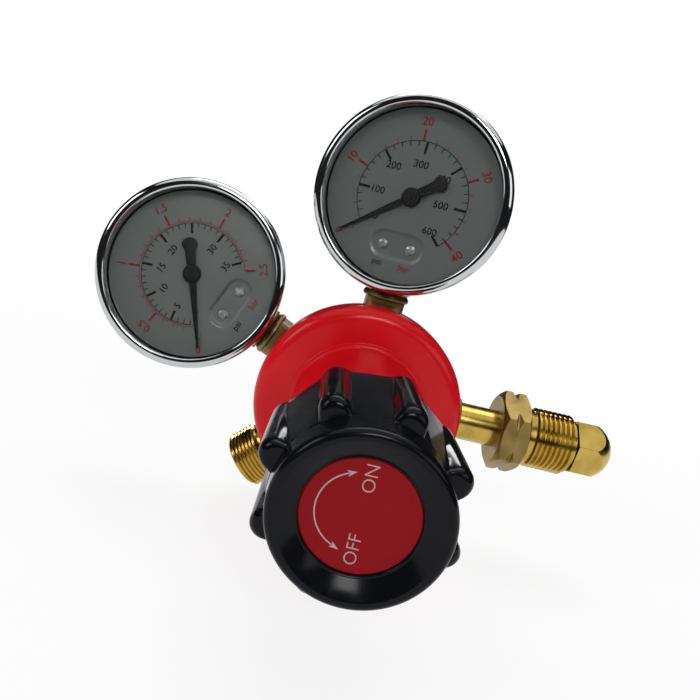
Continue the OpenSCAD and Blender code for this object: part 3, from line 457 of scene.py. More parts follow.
def makeBonnet():
    s = bonnetShape
    front, roof = s["front"], s["shoulder"] - s["roof"]
    chamberTop, ledge = front - s["chamberTop"], front - s["ledge"]
    inner = [(s["screwBore"], s["neckTop"]), (s["screwBore"], roof), (s["springBore"], roof),
             (s["springBore"], chamberTop), (s["chamber"], chamberTop), (s["chamber"], ledge),
             (s["skirtBore"], ledge), (s["skirtBore"], s["skirtBottom"])]
    fillet = s["crownFillet"]
    skirtMiddle = (s["flange"] - s["skirtEdge"], s["skirtBottom"] + s["skirtEdge"])
    neckBase = s["shoulder"] + s["shoulderRound"]
    outer = (arc(skirtMiddle, s["skirtEdge"], -90, 0, 4)
             + arc((s["flange"] - s["edge"], s["front"] - s["edge"]), s["edge"], 0, 90, 20)
             + [(s["step"], s["front"] + s["stepTop"] - s["stepRound"])]
             + arc((s["step"] - s["stepRound"], s["front"] + s["stepTop"]), s["stepRound"], 0, 90, 3)[1:]
             + arc((s["crownBase"] + fillet, front + s["crownLift"]), fillet, 265, 186, 8)
             + arc((s["crownTop"] - s["shoulderRound"], s["shoulder"]), s["shoulderRound"], 6, 84, 14)
             + [(s["neck"] + s["neckFillet"] + 0.2, neckBase)]
             + arc((s["neck"] + s["neckFillet"], neckBase + s["neckFillet"]), s["neckFillet"], 265, 185, 5)
             + [(s["neck"], s["neckTop"] - s["neckEdge"]), (s["neck"] - s["neckEdge"], s["neckTop"])])
    bonnet = turnProfile("bonnetShell", outer + inner + outer[:1], 192)
    bpy.ops.mesh.primitive_cylinder_add(radius=s["vent"] * mm, depth=30 * mm, vertices=32,
                                        location=(0, -25 * mm, (s["front"] + s["ventHeight"]) * mm),
                                        rotation=(math.pi / 2, 0, 0))
    cut(bonnet, bpy.context.object)
    settle(bonnet, regulatorFrame, redEnamel, "red_paint", "regulator", "bonnet")


makeBonnet()
print("bonnet made")

# Knob: a tapered core with eight round ribs that end behind the front collar
knobShape = {
    "columns": 480, "ribs": 8, "ribAngle": 17.6, "ribRows": 16,
    "ribTip": 27.8, "ribRadius": 4, "blend": 1.6, "ribEdge": 2.8, "ribDrop": 0.12,
    "rearFlat": 25.2, "rearCone": 26.2, "rearEdge": 0.8, "collar": 22.7, "collarTaper": 0.4 / 6,
    "crest": 20.3, "crestRound": 2, "rear": 67, "ribEnd": 99.6, "front": 108.6,
    "disc": 14.55, "discFloor": 4.8, "dishFoot": 15.2, "dishDepth": 2.95, "discEdge": 0.45, "discRim": 3.3,
    "shaft": 6.05, "hollow": 13, "hollowDepth": 9, "blank": 24.8,
}


def knobRadius(turn, height):  # turn in radians from a rib, height from the port plane in mm
    s = knobShape
    pitch = math.tau / s["ribs"]
    offset = (turn + pitch / 2) % pitch - pitch / 2
    panel = pitch / 2 - abs(offset)
    along = min(1, (height - s["rear"]) / (s["ribEnd"] - s["rear"]))
    flat = s["rearFlat"] + (s["collar"] - s["rearFlat"]) * along
    cone = s["rearCone"] + (s["collar"] + 0.1 - s["rearCone"]) * along
    base = min(cone, flat / math.cos(panel))
    if height > s["ribEnd"]:
        base = s["collar"] - s["collarTaper"] * (height - s["ribEnd"])
    centre, curve = s["ribTip"] - s["ribRadius"], s["ribRadius"]
    side = abs(centre * math.sin(offset))
    rib = centre * math.cos(offset)
    rib += math.sqrt(curve ** 2 - side ** 2) if side < curve else -3 * (side - curve)
    near = max(0, s["blend"] - abs(base - rib))
    full = max(base, rib) + near * near / (4 * s["blend"])
    edge, drop = s["ribEdge"], s["ribDrop"]
    past = height - (s["ribEnd"] - edge)
    if past > edge:
        full = base + max(0, full - edge - base) * max(0, 1 - (past - edge) / drop)
    elif past > 0:
        full = max(base, full - (edge - math.sqrt(edge ** 2 - past ** 2)))
    lip = s["rearEdge"]
    into = min(lip, max(0, lip - (height - s["rear"])))
    return full - (lip - math.sqrt(lip ** 2 - into ** 2))


def makeKnob():
    s = knobShape
    rear, straight = s["rear"], s["ribEnd"] - s["ribEdge"]
    first = rear + s["rearEdge"]
    rows = [rear, rear + 0.08, rear + 0.25, rear + 0.5, first]
    rows += [first + (straight - first) * i / s["ribRows"] for i in range(1, s["ribRows"] + 1)]
    rows += [s["ribEnd"] - s["ribEdge"] * (1 - f) for f in (0.3, 0.55, 0.75, 0.9, 0.98)]
    rows += [s["ribEnd"] + f for f in (0.01, 0.04, 0.07, 0.1, 0.12, 0.5, 2, 4, 6)]
    hollow, floor = rear + s["hollowDepth"], s["front"] - s["discFloor"]
    profile = [(s["shaft"], hollow), (s["hollow"], hollow), (s["hollow"], rear)]
    profile += [(s["blank"], row) for row in rows]
    profile += arc((s["crest"], s["front"] - s["crestRound"]), s["crestRound"], 8, 118, 12)
    profile += [(s["dishFoot"], s["front"] - s["dishDepth"])]
    profile += arc((s["disc"] + s["discEdge"], s["front"] - s["discRim"]), s["discEdge"], 110, 180, 4)
    profile += [(s["disc"], floor), (s["shaft"], floor), (s["shaft"], hollow)]
    knob = turnProfile("ribbedKnob", profile, s["columns"])
    ribStart = math.radians(90 - s["ribAngle"])
    for vertex in knob.data.vertices:
        height = vertex.co.z / mm
        radius = math.hypot(vertex.co.x, vertex.co.y) / mm
        if abs(radius - s["blank"]) < 0.1:
            wanted = knobRadius(math.atan2(vertex.co.y, vertex.co.x) - ribStart, height)
            vertex.co.x *= wanted / radius
            vertex.co.y *= wanted / radius
    settle(knob, regulatorFrame, blackAbs, "black_plastic", "knob_and_screw", "knob", smooth=40)


makeKnob()
print("knob made")


def printWord(word, place, height, lean=0, weight=0.18):  # flat lettering centred on a place in mm
    bpy.ops.object.text_add()
    mark = bpy.context.object
    mark.data.body = word
    mark.data.size = 10 * mm  # scaled to its height below
    mark.data.resolution_u = 3
    mark.data.offset = weight * mm  # swells or thins the strokes
    bpy.ops.object.convert(target="MESH")
    low = [min(v.co[i] for v in mark.data.vertices) for i in range(2)]
    high = [max(v.co[i] for v in mark.data.vertices) for i in range(2)]
    openMesh(mark)
    bpy.ops.transform.translate(value=(-(low[0] + high[0]) / 2, -(low[1] + high[1]) / 2, 0))
    closeMesh()
    size = height * mm / (high[1] - low[1])
    mark.scale = (size, size, 1)
    mark.rotation_euler.z = math.radians(lean)
    mark.location = Vector(place) * mm
    bpy.ops.object.transform_apply(location=True, rotation=True, scale=True)
    return mark


def printTicks(inner, outer, width, height, start, step, count):  # clockwise row of radial strokes
    bpy.ops.mesh.primitive_plane_add(size=mm)
    ticks = bpy.context.object
    openMesh(ticks)
    bpy.ops.transform.resize(value=(outer - inner, width, 1))
    bpy.ops.transform.translate(value=((inner + outer) / 2 * mm, 0, height * mm))
    closeMesh()
    applyTurn(ticks, "Z", start)
    if count > 1:
        openMesh(ticks)
        bpy.ops.mesh.spin(steps=count - 1, dupli=True, angle=math.radians(step * (count - 1)),
                          center=(0, 0, 0), axis=(0, 0, 1))
        closeMesh()
    return ticks


def printArc(radius, width, height, start, sweep, centre=(0, 0)):  # clockwise band
    band = drawLine("band", [(radius - width / 2, 0, height), (radius + width / 2, 0, height)])
    applyTurn(band, "Z", start)
    openMesh(band)
    bpy.ops.mesh.spin(steps=96, angle=math.radians(sweep), center=(0, 0, 0), axis=(0, 0, 1))
    bpy.ops.mesh.select_all(action="SELECT")
    bpy.ops.transform.translate(value=(centre[0] * mm, centre[1] * mm, 0))
    closeMesh()
    return band


def printArrowHead(centre, radius, angle, height, length, width, clockwise):
    lean = angle + (-90 if clockwise else 90)
    turn = math.radians(angle)
    x, y = centre[0] + radius * math.cos(turn), centre[1] + radius * math.sin(turn)
    head = drawLine("head", [(-0.4, -width / 2, height), (length, 0, height), (-0.4, width / 2, height),
                             (0.2, 0, height), (-0.4, -width / 2, height)])
    openMesh(head)
    bpy.ops.mesh.edge_face_add()
    closeMesh()
    applyTurn(head, "Z", lean)
    openMesh(head)
    bpy.ops.transform.translate(value=(x * mm, y * mm, 0))
    closeMesh()
    return head


# The disc's print: which way is on and which is off
discPrint = {"height": 105.03, "centre": (-0.93, 0.72), "radius": 9.85, "start": 113, "line": 0.34,
             "head": (1.9, 1.6), "letters": 3.1, "weight": -0.12, "off": (0.1, -8.3), "on": (0.16, 9.6)}


def makeDiscPrint():
    s = discPrint
    height, start, centre, radius = s["height"], s["start"], s["centre"], s["radius"]
    marks = [printArc(radius, s["line"], height, -start, 360 - 2 * start, centre),
             printArrowHead(centre, radius, start, height, *s["head"], True),
             printArrowHead(centre, radius, -start, height, *s["head"], False),
             printWord("OFF", (*s["off"], height), s["letters"], 90, s["weight"]),
             printWord("ON", (*s["on"], height), s["letters"], 90, s["weight"])]
    marks = join("discPrint", marks)
    settle(marks, regulatorFrame, whiteInk, "red_disc", "knob_and_screw")


makeDiscPrint()
print("disc printed")

# Bezels: a pressed and plated ring, rolled in over the glass
bezelShape = {"outer": 34.3, "rear": 9.5, "front": 16.2, "window": 30.8, "glass": 15, "case": 31.8,
              "rearRound": 1.2, "frontRound": 2.2, "lipRound": 0.75}


def makeBezels():
    s = bezelShape
    rearRound, frontRound, lip = s["rearRound"], s["frontRound"], s["lipRound"]
    profile = ([(s["case"], s["rear"])]
               + arc((s["outer"] - rearRound, s["rear"] + rearRound), rearRound, -90, 0, 6)
               + arc((s["outer"] - frontRound, s["front"] - frontRound), frontRound, 0, 90, 14)
               + arc((s["window"] + lip, s["front"] - lip), lip, 95, 180, 6)
               + [(s["window"], s["glass"]), (s["case"], s["glass"]), (s["case"], s["rear"])])
    low = turnProfile("lowGaugeBezel", profile, 192)
    high = copyPiece("highGaugeBezel", low)
    settle(low, gaugeFrame("low"), chromePlate, "chrome", "regulator", "low_gauge_bezel")
    settle(high, gaugeFrame("high"), chromePlate, "chrome", "regulator", "high_gauge_bezel")


makeBezels()
print("bezels made")

# Dials: a thin lacquered plate with a pressed recess round its two screws and a stop pin
dialShape = {
    "radius": 30.55, "front": 9, "thickness": 0.4, "floor": 8.4,
    "recessY": -17.6, "recessHalf": 4.8, "rim": 5.2, "flat": 4,
    "edgeRound": 0.35, "arborHole": 2, "screwHole": 1.05, "screwX": 5.1, "screwY": -17.9,
    "stop": (23.37, 1.05), "stopRadius": 0.5, "stopTop": 10.8, "stopRound": 0.2,
    "restAngle": {"low": -139, "high": -142},
}


def makeSlotLoop(radius, height):  # a circle pulled apart into a slot with round ends
    s = dialShape
    bpy.ops.mesh.primitive_circle_add(radius=radius * mm, vertices=96)
    loop = bpy.context.object
    for vertex in loop.data.vertices:
        vertex.select = False
    for side in (-1, 1):
        openMesh(loop)
        bpy.ops.mesh.select_all(action="DESELECT")
        closeMesh()
        for vertex in loop.data.vertices:
            vertex.select = vertex.co.x * side > 0.01 * mm
        bpy.ops.object.mode_set(mode="EDIT")
        bpy.ops.transform.translate(value=(side * s["recessHalf"] * mm, 0, 0))
        closeMesh()
    openMesh(loop)
    bpy.ops.transform.translate(value=(0, s["recessY"] * mm, height * mm))
    closeMesh()
    return loop


def makeDialPlate(side):
    s = dialShape
    bpy.ops.mesh.primitive_circle_add(radius=s["radius"] * mm, vertices=96)
    rim = bpy.context.object
    openMesh(rim)
    bpy.ops.transform.translate(value=(0, 0, s["front"] * mm))
    closeMesh()
    loops = [rim, makeSlotLoop(s["rim"], s["front"]), makeSlotLoop(s["flat"], s["floor"])]
    plate = join(side + "Dial", loops)
    sunk, outer = (s["front"] - 0.1) * mm, (s["radius"] - 1.5) * mm
    loopOf = [2 if v.co.z < sunk else 0 if v.co.xy.length > outer else 1 for v in plate.data.vertices]
    for first, second in ((0, 1), (1, 2)):
        openMesh(plate)
        bpy.ops.mesh.select_all(action="DESELECT")
        bpy.ops.mesh.select_mode(type="EDGE")
        closeMesh()
        for edge in plate.data.edges:
            edge.select = {loopOf[v] for v in edge.vertices} in ({first}, {second})
        bpy.ops.object.mode_set(mode="EDIT")
        bpy.ops.mesh.bridge_edge_loops()
        closeMesh()
    openMesh(plate)
    bpy.ops.mesh.select_all(action="DESELECT")
    closeMesh()
    for vertex in plate.data.vertices:
        vertex.select = loopOf[vertex.index] == 2
    bpy.ops.object.mode_set(mode="EDIT")
    bpy.ops.mesh.edge_face_add()
    bpy.ops.mesh.select_all(action="SELECT")
    bpy.ops.mesh.normals_make_consistent(inside=False)
    closeMesh()
    if plate.data.polygons[0].normal.z < 0:
        openMesh(plate)
        bpy.ops.mesh.flip_normals()
        closeMesh()
    soften(plate, s["edgeRound"], 4, 15)
    useModifier(plate, "SOLIDIFY", thickness=s["thickness"] * mm, offset=-1, use_even_offset=True)
    holes = [((0, 0), s["arborHole"]), ((s["screwX"], s["screwY"]), s["screwHole"]),
             ((-s["screwX"], s["screwY"]), s["screwHole"])]
    for (x, y), radius in holes:
        bpy.ops.mesh.primitive_cylinder_add(radius=radius * mm, depth=3 * mm, vertices=48,
                                            location=(x * mm, y * mm, s["front"] * mm))
        cut(plate, bpy.context.object)
    return plate


def makeStopPin(side):
    s = dialShape
    foot, edge = s["front"] - s["thickness"], s["stopRound"]
    pin = turnProfile(side + "StopPin", [(0, foot), (s["stopRadius"], foot)]
                      + arc((s["stopRadius"] - edge, s["stopTop"] - edge), edge, 0, 90, 4)
                      + [(0, s["stopTop"])], 24)
    openMesh(pin)
    bpy.ops.transform.translate(value=(s["stop"][0] * mm, s["stop"][1] * mm, 0))
    closeMesh()
    applyTurn(pin, "Z", s["restAngle"][side])
    return pin


# Scales, in degrees anticlockwise from 3 o'clock; the printed zero stands at the pointer's rest
scales = {
    "low": {
        "blackArc": 18.7, "redArc": 19.4, "end": -400, "redEnd": -409.7,
        "psiAt0": -130, "psiStep": 7.714, "barAt0": -130, "barStep": 11.19,
        "psiTicks": [(2, 1, 34, 16.9, 18.5, 0.36), (5, 5, 7, 14.9, 18.5, 0.9)],
        "barTicks": [(1, 1, 25, 19.6, 21.1, 0.34), (5, 5, 5, 19.6, 23.4, 0.85)],
        "psiWords": [("5", 5, 12.9), ("10", 10, 11.6), ("15", 15, 11.5), ("20", 20, 11.4),
                     ("25", 25, 11.5), ("30", 30, 11.7), ("35", 35, 12.5)],
        "barWords": [("0.5", 5), ("1", 10), ("1.5", 15), ("2", 20), ("2.5", 25)],
    },
    "high": {
        "blackArc": 19.5, "redArc": None, "end": -405, "redEnd": -396.1,
        "psiAt0": -135, "psiStep": 0.45, "barAt0": -135, "barStep": 6.527,
        "psiTicks": [(20, 20, 30, 17.8, 19.4, 0.36), (100, 100, 6, 15.3, 19.4, 0.9)],
        "barTicks": [(2, 2, 20, 19.6, 21.1, 0.34), (10, 10, 4, 19.6, 23.4, 0.85)],
        "psiWords": [("100", 100, 12.2), ("200", 200, 13.1), ("300", 300, 11.7), ("400", 400, 12.3),
                     ("500", 500, 10.6), ("600", 600, 13.5)],
        "barWords": [("10", 10), ("20", 20), ("30", 30), ("40", 40)],
    },
}
printing = {
    "height": 9.02, "blackLine": 0.28, "redLine": 0.3, "blackZero": 0.75, "redZero": 0.7, "redReach": 23.4,
    "blackFigure": 2.65, "redFigure": 3, "redFigureRadius": 26.2, "blackNought": (-10.5, -9.2),
    "redNoughtRadius": 27.9, "psi": ((-5.4, -24.9), 2.9), "bar": ((4.8, -24.5), 2.4),
}


def scaleAngle(scale, unit, value):
    return scale[unit + "At0"] - scale[unit + "Step"] * value


def onDial(angle, radius):  # a point of the printed face, in mm
    return radius * math.cos(math.radians(angle)), radius * math.sin(math.radians(angle)), printing["height"]


def printDial(side):
    scale, p, rest = scales[side], printing, dialShape["restAngle"][side]
    z, blackArc = p["height"], scale["blackArc"]
    black = [printArc(blackArc, p["blackLine"], z, rest, rest - scale["end"]),
             printTicks(scale["psiTicks"][1][3], blackArc, p["blackZero"], z, rest, 0, 1)]
    red = [printTicks(blackArc + 0.9, p["redReach"], p["redZero"], z, rest, 0, 1)]
    if scale["redArc"]:
        red.append(printArc(scale["redArc"], p["redLine"], z, rest, rest - scale["redEnd"]))
    for marks, unit in ((black, "psi"), (red, "bar")):
        for first, step, count, inner, outer, width in scale[unit + "Ticks"]:
            start, turn = scaleAngle(scale, unit, first), scale[unit + "Step"] * step
            marks.append(printTicks(inner, outer, width, z, start, turn, count))
    for word, value, radius in scale["psiWords"]:
        black.append(printWord(word, onDial(scaleAngle(scale, "psi", value), radius), p["blackFigure"]))
    for word, value in scale["barWords"]:
        angle = scaleAngle(scale, "bar", value)
        lean = angle - 90 if math.sin(math.radians(angle)) > -0.3 else angle + 90
        red.append(printWord(word, onDial(angle, p["redFigureRadius"]), p["redFigure"], lean))
    black.append(printWord("0", (*p["blackNought"], z), p["blackFigure"]))
    red.append(printWord("0", onDial(rest, p["redNoughtRadius"]), p["redFigure"], rest + 90))
    for marks, unit in ((black, "psi"), (red, "bar")):
        place, height = p[unit]
        marks.append(printWord(unit, (*place, z), height))
    return join(side + "DialBlackPrint", black), join(side + "DialRedPrint", red)


for side in ("low", "high"):
    plate = join(side + "Dial", [makeDialPlate(side), makeStopPin(side)])
    settle(plate, gaugeFrame(side), dialLacquer, "dial_paint", "regulator", side + "_gauge_dial")
    blackPrint, redPrint = printDial(side)
    settle(blackPrint, gaugeFrame(side), blackInk, "dial_paint", "regulator")
    settle(redPrint, gaugeFrame(side), redInk, "dial_paint", "regulator")
print("dials made and printed")

# Pointers: a tapered blade, a domed hub and a round counterweight
pointerShape = {"length": 27.5, "tip": 0.42, "root": (3, 1.3), "neck": (-3, 1.7), "waist": (-8.7, 1.95),
                "tail": (2.4, 2.9), "tailX": -10.9, "blade": 10, "thickness": 0.5, "edge": 0.09,
                "hub": 3.4, "hubRound": 0.9, "hubBottom": 9.3, "hubTop": 11.7, "arbor": 0.65, "cap": 0.6}


def makePointers():
    s = pointerShape
    long, wide = s["tail"]
    half = ([(s["length"], 0.25), (s["length"] - 0.15, s["tip"]), s["root"], s["neck"], s["waist"]]
            + [(s["tailX"] + long * x, wide * y) for x, y in arc((0, 0), 1, 43, 180, 18)])
    outline = half + [(x, -y) for x, y in reversed(half[:-1])] + half[:1]
    blade = drawLine("lowPointer", [(x, y, s["blade"]) for x, y in outline])
    openMesh(blade)
    bpy.ops.mesh.edge_face_add()
    bpy.ops.mesh.extrude_region_move(TRANSFORM_OT_translate={"value": (0, 0, s["thickness"] * mm)})
    bpy.ops.mesh.select_all(action="SELECT")
    bpy.ops.mesh.normals_make_consistent(inside=False)
    closeMesh()
    soften(blade, s["edge"], 2, 50)
    bottom, top, arbor, curve = s["hubBottom"], s["hubTop"], s["arbor"], s["hubRound"]
    hub = turnProfile("hub", [(arbor, bottom), (s["hub"], bottom)]
                      + arc((s["hub"] - curve, top - 1), curve, 0, 80, 8)
                      + [(0, top), (0, top - s["cap"]), (arbor, top - s["cap"]), (arbor, bottom)], 64)
    low = join("lowPointer", [blade, hub])
    high = copyPiece("highPointer", low)
    for side, piece in (("low", low), ("high", high)):
        rest = Matrix.Rotation(math.radians(dialShape["restAngle"][side]), 4, "Z")
        settle(piece, gaugeFrame(side) @ rest, needlePaint, "pointer_black", side + "_pointer",
               side + "_gauge_pointer")


makePointers()
print("pointers made")

# Inlet nut: hexagon with V notches that mark a left-hand thread, shoulder, thread and collar
nutShape = {
    "bore": 7.05, "acrossFlats": 27, "hexTurn": 27, "bar": 30, "barEdge": 0.35, "barSteps": 3,
    "start": 54, "hexEnd": 64.5, "facing": 0.7, "spare": 0.4,
    "notchRise": 0.5, "notchSlope": 0.75, "notchEdge": 0.3, "notchHalf": 0.25,
    "shoulder": 0.9, "shoulderEnd": 0.6, "thread": 11.45, "threadRoot": 10.35, "threadStart": 67.5,
    "threadEnd": 82.4, "pitch": 1.81, "runIn": 0.2, "runOut": 1.2, "collar": 1.8, "end": 83.1, "endRound": 0.5,
}


def makeInletNut():
    s = nutShape
    bore, start, hexEnd, crest, root = s["bore"], s["start"], s["hexEnd"], s["thread"], s["threadRoot"]
    flat, corner = s["acrossFlats"] / 2, s["acrossFlats"] / 2 / math.cos(math.pi / 6)
    face, outer, notch = flat - s["facing"], corner + s["spare"], flat + s["notchRise"]
    middle, edge, half = (start + hexEnd) / 2, s["notchEdge"], s["notchHalf"]
    rise, dip = (outer - face) * math.tan(math.pi / 6), (outer - notch) * s["notchSlope"]
    hexagon = turnProfile("inletNut", [
        (bore, start), (face, start), (outer, start + rise), (outer, middle - dip - edge),
        (outer - edge, middle - dip), (notch, middle - half), (notch, middle + half),
        (outer - edge, middle + dip), (outer, middle + dip + edge), (outer, hexEnd - rise),
        (face, hexEnd), (bore, hexEnd), (bore, start)], 144)
    keepInHexagon(hexagon, s, middle)
    inside, shoulder, curve = hexEnd - 0.5, crest - s["shoulder"], s["endRound"]
    first, last = s["threadStart"], s["threadEnd"]
    barrel = turnProfile("barrel", [
        (bore, inside), (shoulder, inside), (shoulder, first - s["shoulderEnd"]), (root, first + 0.2),
        (root, last - 0.2), (root - 0.6, last), (crest - s["collar"], last + 0.1)]
        + arc((crest - s["collar"] - curve, s["end"] - curve), curve, 0, 90, 4)
        + [(bore, s["end"]), (bore, inside)], 144)
    ridge = makeRidge(root, crest, s["pitch"], first + 0.1, last - 0.7)
    chamferRidge(ridge, crest, first + s["runIn"], last - s["runOut"])
    barrel = join("inletThread", [barrel, ridge])
    for piece, material, replaced in ((hexagon, nutBrass, ["inlet_nut"]), (barrel, brassAlongX, [])):
        applyTurn(piece, "X", -90)
        settle(piece, portFrame(layout["inletAngle"]), material, "nut_brass", "nut", *replaced, smooth=28)


makeInletNut()
print("inlet nut made")

# Outlet connector: left-hand thread over its whole length, with a cone in its mouth
outletShape = {
    "gasWay": 3, "shank": 6.5, "shankEdge": 0.5, "start": 27, "shoulder": 39, "recess": 1.6,
    "root": 10.05, "crest": 11, "pitch": 1.5, "threadStart": 41, "runIn": 0.4, "runOut": 1.3,
    "end": 52.5, "endRound": 0.6, "lip": 0.7, "cone": 8.2, "coneDepth": 4, "bore": 4, "boreDepth": 8.5,
}


def makeOutlet():
    s = outletShape
    gasWay, shank, edge, root, bore = s["gasWay"], s["shank"], s["shankEdge"], s["root"], s["bore"]
    start, first, end, curve = s["start"], s["threadStart"], s["end"], s["endRound"]
    neck, floor = s["crest"] - s["recess"], end - s["boreDepth"]
    core = turnProfile("outletConnector", [
        (gasWay, start), (shank - edge, start), (shank, start + edge), (shank, s["shoulder"]),
        (neck, s["shoulder"]), (neck, first - 0.6), (root, first), (root, end - curve)]
        + arc((root - s["lip"], end - curve), curve, 0, 90, 4)
        + [(s["cone"], end), (bore, end - s["coneDepth"]), (bore, floor), (gasWay, floor),
           (gasWay, start)], 144)
    ridge = makeRidge(root, s["crest"], s["pitch"], first + s["runIn"], end - curve)
    chamferRidge(ridge, s["crest"], first + s["runIn"], end - s["runOut"])
    outlet = join("outletConnector", [core, ridge])
    applyTurn(outlet, "X", -90)
    settle(outlet, portFrame(layout["outletAngle"]), brassOutlet, "brass", "regulator", "outlet_connector",
           smooth=28)


makeOutlet()
print("outlet made")

# Inlet stem: a plain tube and a bull nose with six flats, drilled for the filter
stemShape = {
    "bore": 2.5, "mouth": 3.2, "mouthDepth": 4, "radius": 7, "thread": 6.45, "threadEdge": 0.5,
    "start": 27.5, "boss": 39.5, "overlap": 0.5, "noseStart": 83.4, "noseCentre": 87.4, "noseRadius": 11.2,
    "noseEdge": 0.3, "mouthEdge": 0.9, "acrossFlats": 19, "hexTurn": 43,
    "bar": 40, "barEdge": 0.25, "barSteps": 2,
}


def makeInletStem():
    s = stemShape
    bore, mouth, radius, start, boss = s["bore"], s["mouth"], s["radius"], s["start"], s["boss"]
    thread, edge, noseStart, nose = s["thread"], s["threadEdge"], s["noseStart"], s["noseRadius"]
    tubeEnd, floor = noseStart + s["overlap"], noseStart - s["mouthDepth"]
    tube = turnProfile("inletStem", [
        (bore, start), (thread - edge, start), (thread, start + edge), (thread, boss), (radius, boss),
        (radius, tubeEnd), (mouth, tubeEnd), (mouth, floor), (bore, floor), (bore, start)], 96)
    lip = s["noseEdge"]
    top = math.degrees(math.asin((mouth + lip) / nose))
    bull = turnProfile("nose", [(mouth, noseStart), (nose - lip, noseStart), (nose, noseStart + lip)]
                       + arc((0, s["noseCentre"]), nose, 0, 90 - top, 36)
                       + [(mouth, s["noseCentre"] + nose - s["mouthEdge"]), (mouth, noseStart)], 144)
    keepInHexagon(bull, s, s["noseCentre"])
    stem = join("inletStem", [tube, bull])
    applyTurn(stem, "X", -90)
    settle(stem, portFrame(layout["inletAngle"]), brassAlongX, "brass", "regulator", "inlet_stem", smooth=20)


makeInletStem()
print("inlet stem made")

# Gauge cases: deep-drawn cups, slotted for the socket and drilled for its screws
caseShape = {"radius": 31.75, "back": -12, "front": 13, "corner": 3, "sheet": 0.8,
             "slot": 14.1, "slotRound": 1.2, "screwX": 4.4, "screwY": -18.6, "screwHole": 1.3}


def makeCases():
    s = caseShape
    middle = (s["radius"] - s["corner"], s["back"] + s["corner"])
    cup = turnProfile("lowGaugeCase", [(0, s["back"])] + arc(middle, s["corner"], -90, 0, 10)
                      + [(s["radius"], s["front"]), (s["radius"] - s["sheet"], s["front"])]
                      + arc(middle, s["corner"] - s["sheet"], 0, -90, 10)
                      + [(0, s["back"] + s["sheet"])], 160)
    bpy.ops.mesh.primitive_cube_add(size=s["slot"] * mm, location=(0, (-s["radius"] + 1) * mm, 0))
    slot = bpy.context.object
    soften(slot, s["slotRound"], 1)
    cut(cup, slot)
    for x in (-s["screwX"], s["screwX"]):
        bpy.ops.mesh.primitive_cylinder_add(radius=s["screwHole"] * mm, depth=4 * mm, vertices=32,
                                            location=(x * mm, s["screwY"] * mm, s["back"] * mm))
        cut(cup, bpy.context.object)
    for side, piece in (("high", copyPiece("highGaugeCase", cup)), ("low", cup)):
        settle(piece, gaugeFrame(side), chromePlate, "case_steel", "regulator", side + "_gauge_case")


makeCases()
print("cases made")

# Forged and turned pieces that keep their modelled shape, with their sharp edges broken
brokenEdges = {  # finish, and width in mm
    "body": (forgedBrass, 0.3),
    "low_gauge_socket": (forgedBrass, 0.25), "high_gauge_socket": (forgedBrass, 0.25),
    "relief_body": (brassInside, 0.2), "relief_cap": (brassInside, 0.15),
}


def breakEdges(name, material, width):
    source = nodes[name]
    piece = copyPiece(name + "Finished", source)
    piece.parent = None
    piece.matrix_world = source.matrix_world
    cleanMesh(piece)
    openMesh(piece)
    bpy.ops.mesh.dissolve_limited(angle_limit=math.radians(0.5))
    closeMesh()
    soften(piece, width, 2, 40)
    settle(piece, piece.matrix_world.copy(), material, "brass", "regulator", name)


for name, (material, width) in brokenEdges.items():
    breakEdges(name, material, width)
print("edges broken")

# A pale floor just under the lowest piece, a dark wall that only reflections see, and soft lamps
studio = {
    "middle": -0.08, "floorSize": 12, "floorGap": 0.2 * mm, "floorColour": "FAFAFA",
    "fade": (0.15, 0.5, 0.8, 1), "ambient": 0.42, "wallColour": "2A2A2C", "wallRadius": 1.3, "wallHeight": 1.6, "wallGap": 0.02,
    "aim": (-0.08, -0.02, 0.02),
    "lamps": {  # place, size and power
        "keyLamp": ((0, -0.88, 0.58), (0.3, 0.26), 2.7),
        "leftLamp": ((-0.7, -0.35, 0.4), (0.3, 0.3), 1.2),
        "fillLamp": ((0.5, -0.5, 0.35), (0.5, 0.3), 0.7),
        "topLamp": ((-0.05, 0.2, 0.8), (0.7, 0.4), 2.2),
        "backLamp": ((0.02, 0.85, 0.42), (0.26, 0.22), 1.4),
    },
}


def addSeen(tree):  # 1 for camera, glossy and transmission rays
    path = addNode(tree, "LightPath")
    seen = addNode(tree, "Math", {"operation": "MAXIMUM"}, {0: path.outputs["Is Camera Ray"]})
    tree.links.new(seen.inputs[1], path.outputs["Is Glossy Ray"])
    both = addNode(tree, "Math", {"operation": "MAXIMUM"}, {0: seen.outputs[0]})
    tree.links.new(both.inputs[1], path.outputs["Is Transmission Ray"])
    return both.outputs[0]


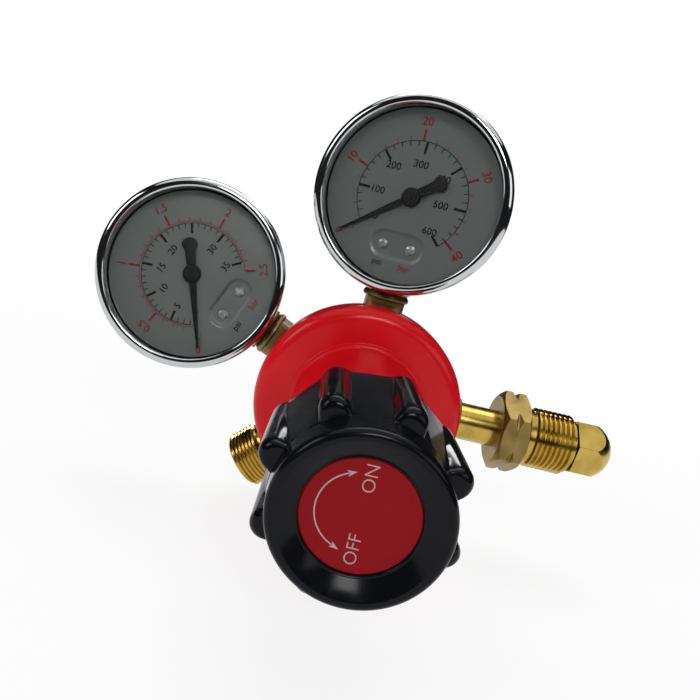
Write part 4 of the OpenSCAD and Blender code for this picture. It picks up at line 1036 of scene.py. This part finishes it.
def addFloor():
    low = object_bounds()[0]
    bpy.ops.object.select_all(action="DESELECT")
    bpy.ops.mesh.primitive_plane_add(size=studio["floorSize"],
                                     location=(studio["middle"], 0, low[2] - studio["floorGap"]))
    floor = bpy.context.object
    floor.name = "floor"
    made = bpy.data.materials.new("paleFloor")
    made.use_nodes = True
    tree = made.node_tree
    tree.nodes.clear()
    place = addNode(tree, "TexCoord").outputs["Object"]
    far = addNode(tree, "VectorMath", {"operation": "LENGTH"}, {"Vector": place}).outputs["Value"]
    share = remap(tree, far, *studio["fade"])  # from a shadowed floor near the object to plain white
    keep = addNode(tree, "Math", {"operation": "MULTIPLY"}, {0: addSeen(tree)})
    tree.links.new(keep.inputs[1], share)
    paint = addNode(tree, "BsdfDiffuse", {"Color": linear(studio["floorColour"])})
    white = addNode(tree, "Emission", {"Color": (1, 1, 1, 1), "Strength": 1})
    mix = addNode(tree, "MixShader", None, {"Fac": keep.outputs[0]})
    tree.links.new(mix.inputs[1], paint.outputs[0])
    tree.links.new(mix.inputs[2], white.outputs[0])
    addNode(tree, "OutputMaterial", None, {"Surface": mix.outputs[0]})
    floor.data.materials.append(made)
    floor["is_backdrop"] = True
    return low[2]


def addWall(base):
    height = studio["wallHeight"]
    bpy.ops.mesh.primitive_cylinder_add(vertices=96, radius=studio["wallRadius"], depth=height,
                                        end_fill_type="NOTHING",
                                        location=(studio["middle"], 0, base + height / 2 + studio["wallGap"]))
    wall = bpy.context.object
    wall.name = "studioWall"
    made, _, shader, _ = startMaterial("darkWall", studio["wallColour"], 0, 1)
    shader.inputs["Specular IOR Level"].default_value = 0
    wall.data.materials.append(made)
    wall.visible_camera = wall.visible_diffuse = wall.visible_transmission = wall.visible_shadow = False
    wall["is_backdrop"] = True


def addWorld():
    world = bpy.data.worlds.new("studio")
    bpy.context.scene.world = world
    world.use_nodes = True
    tree = world.node_tree
    tree.nodes.clear()
    strength = remap(tree, addSeen(tree), 0, 1, studio["ambient"], 1)
    back = addNode(tree, "Background", {"Color": (1, 1, 1, 1)}, {"Strength": strength})
    addNode(tree, "OutputWorld", None, {"Surface": back.outputs[0]})


def addLamp(name, place, size, power):
    data = bpy.data.lights.new(name, "AREA")
    data.shape = "RECTANGLE"
    data.size, data.size_y = size
    data.energy = power
    lamp = bpy.data.objects.new(name, data)
    lamp.location = place
    lamp.rotation_euler = (Vector(studio["aim"]) - Vector(place)).to_track_quat("-Z", "Y").to_euler()
    bpy.context.scene.collection.objects.link(lamp)


addWall(addFloor())
addWorld()
for name, (place, size, power) in studio["lamps"].items():
    addLamp(name, place, size, power)
bpy.context.scene.view_settings.view_transform = "Standard"
print("studio lit")
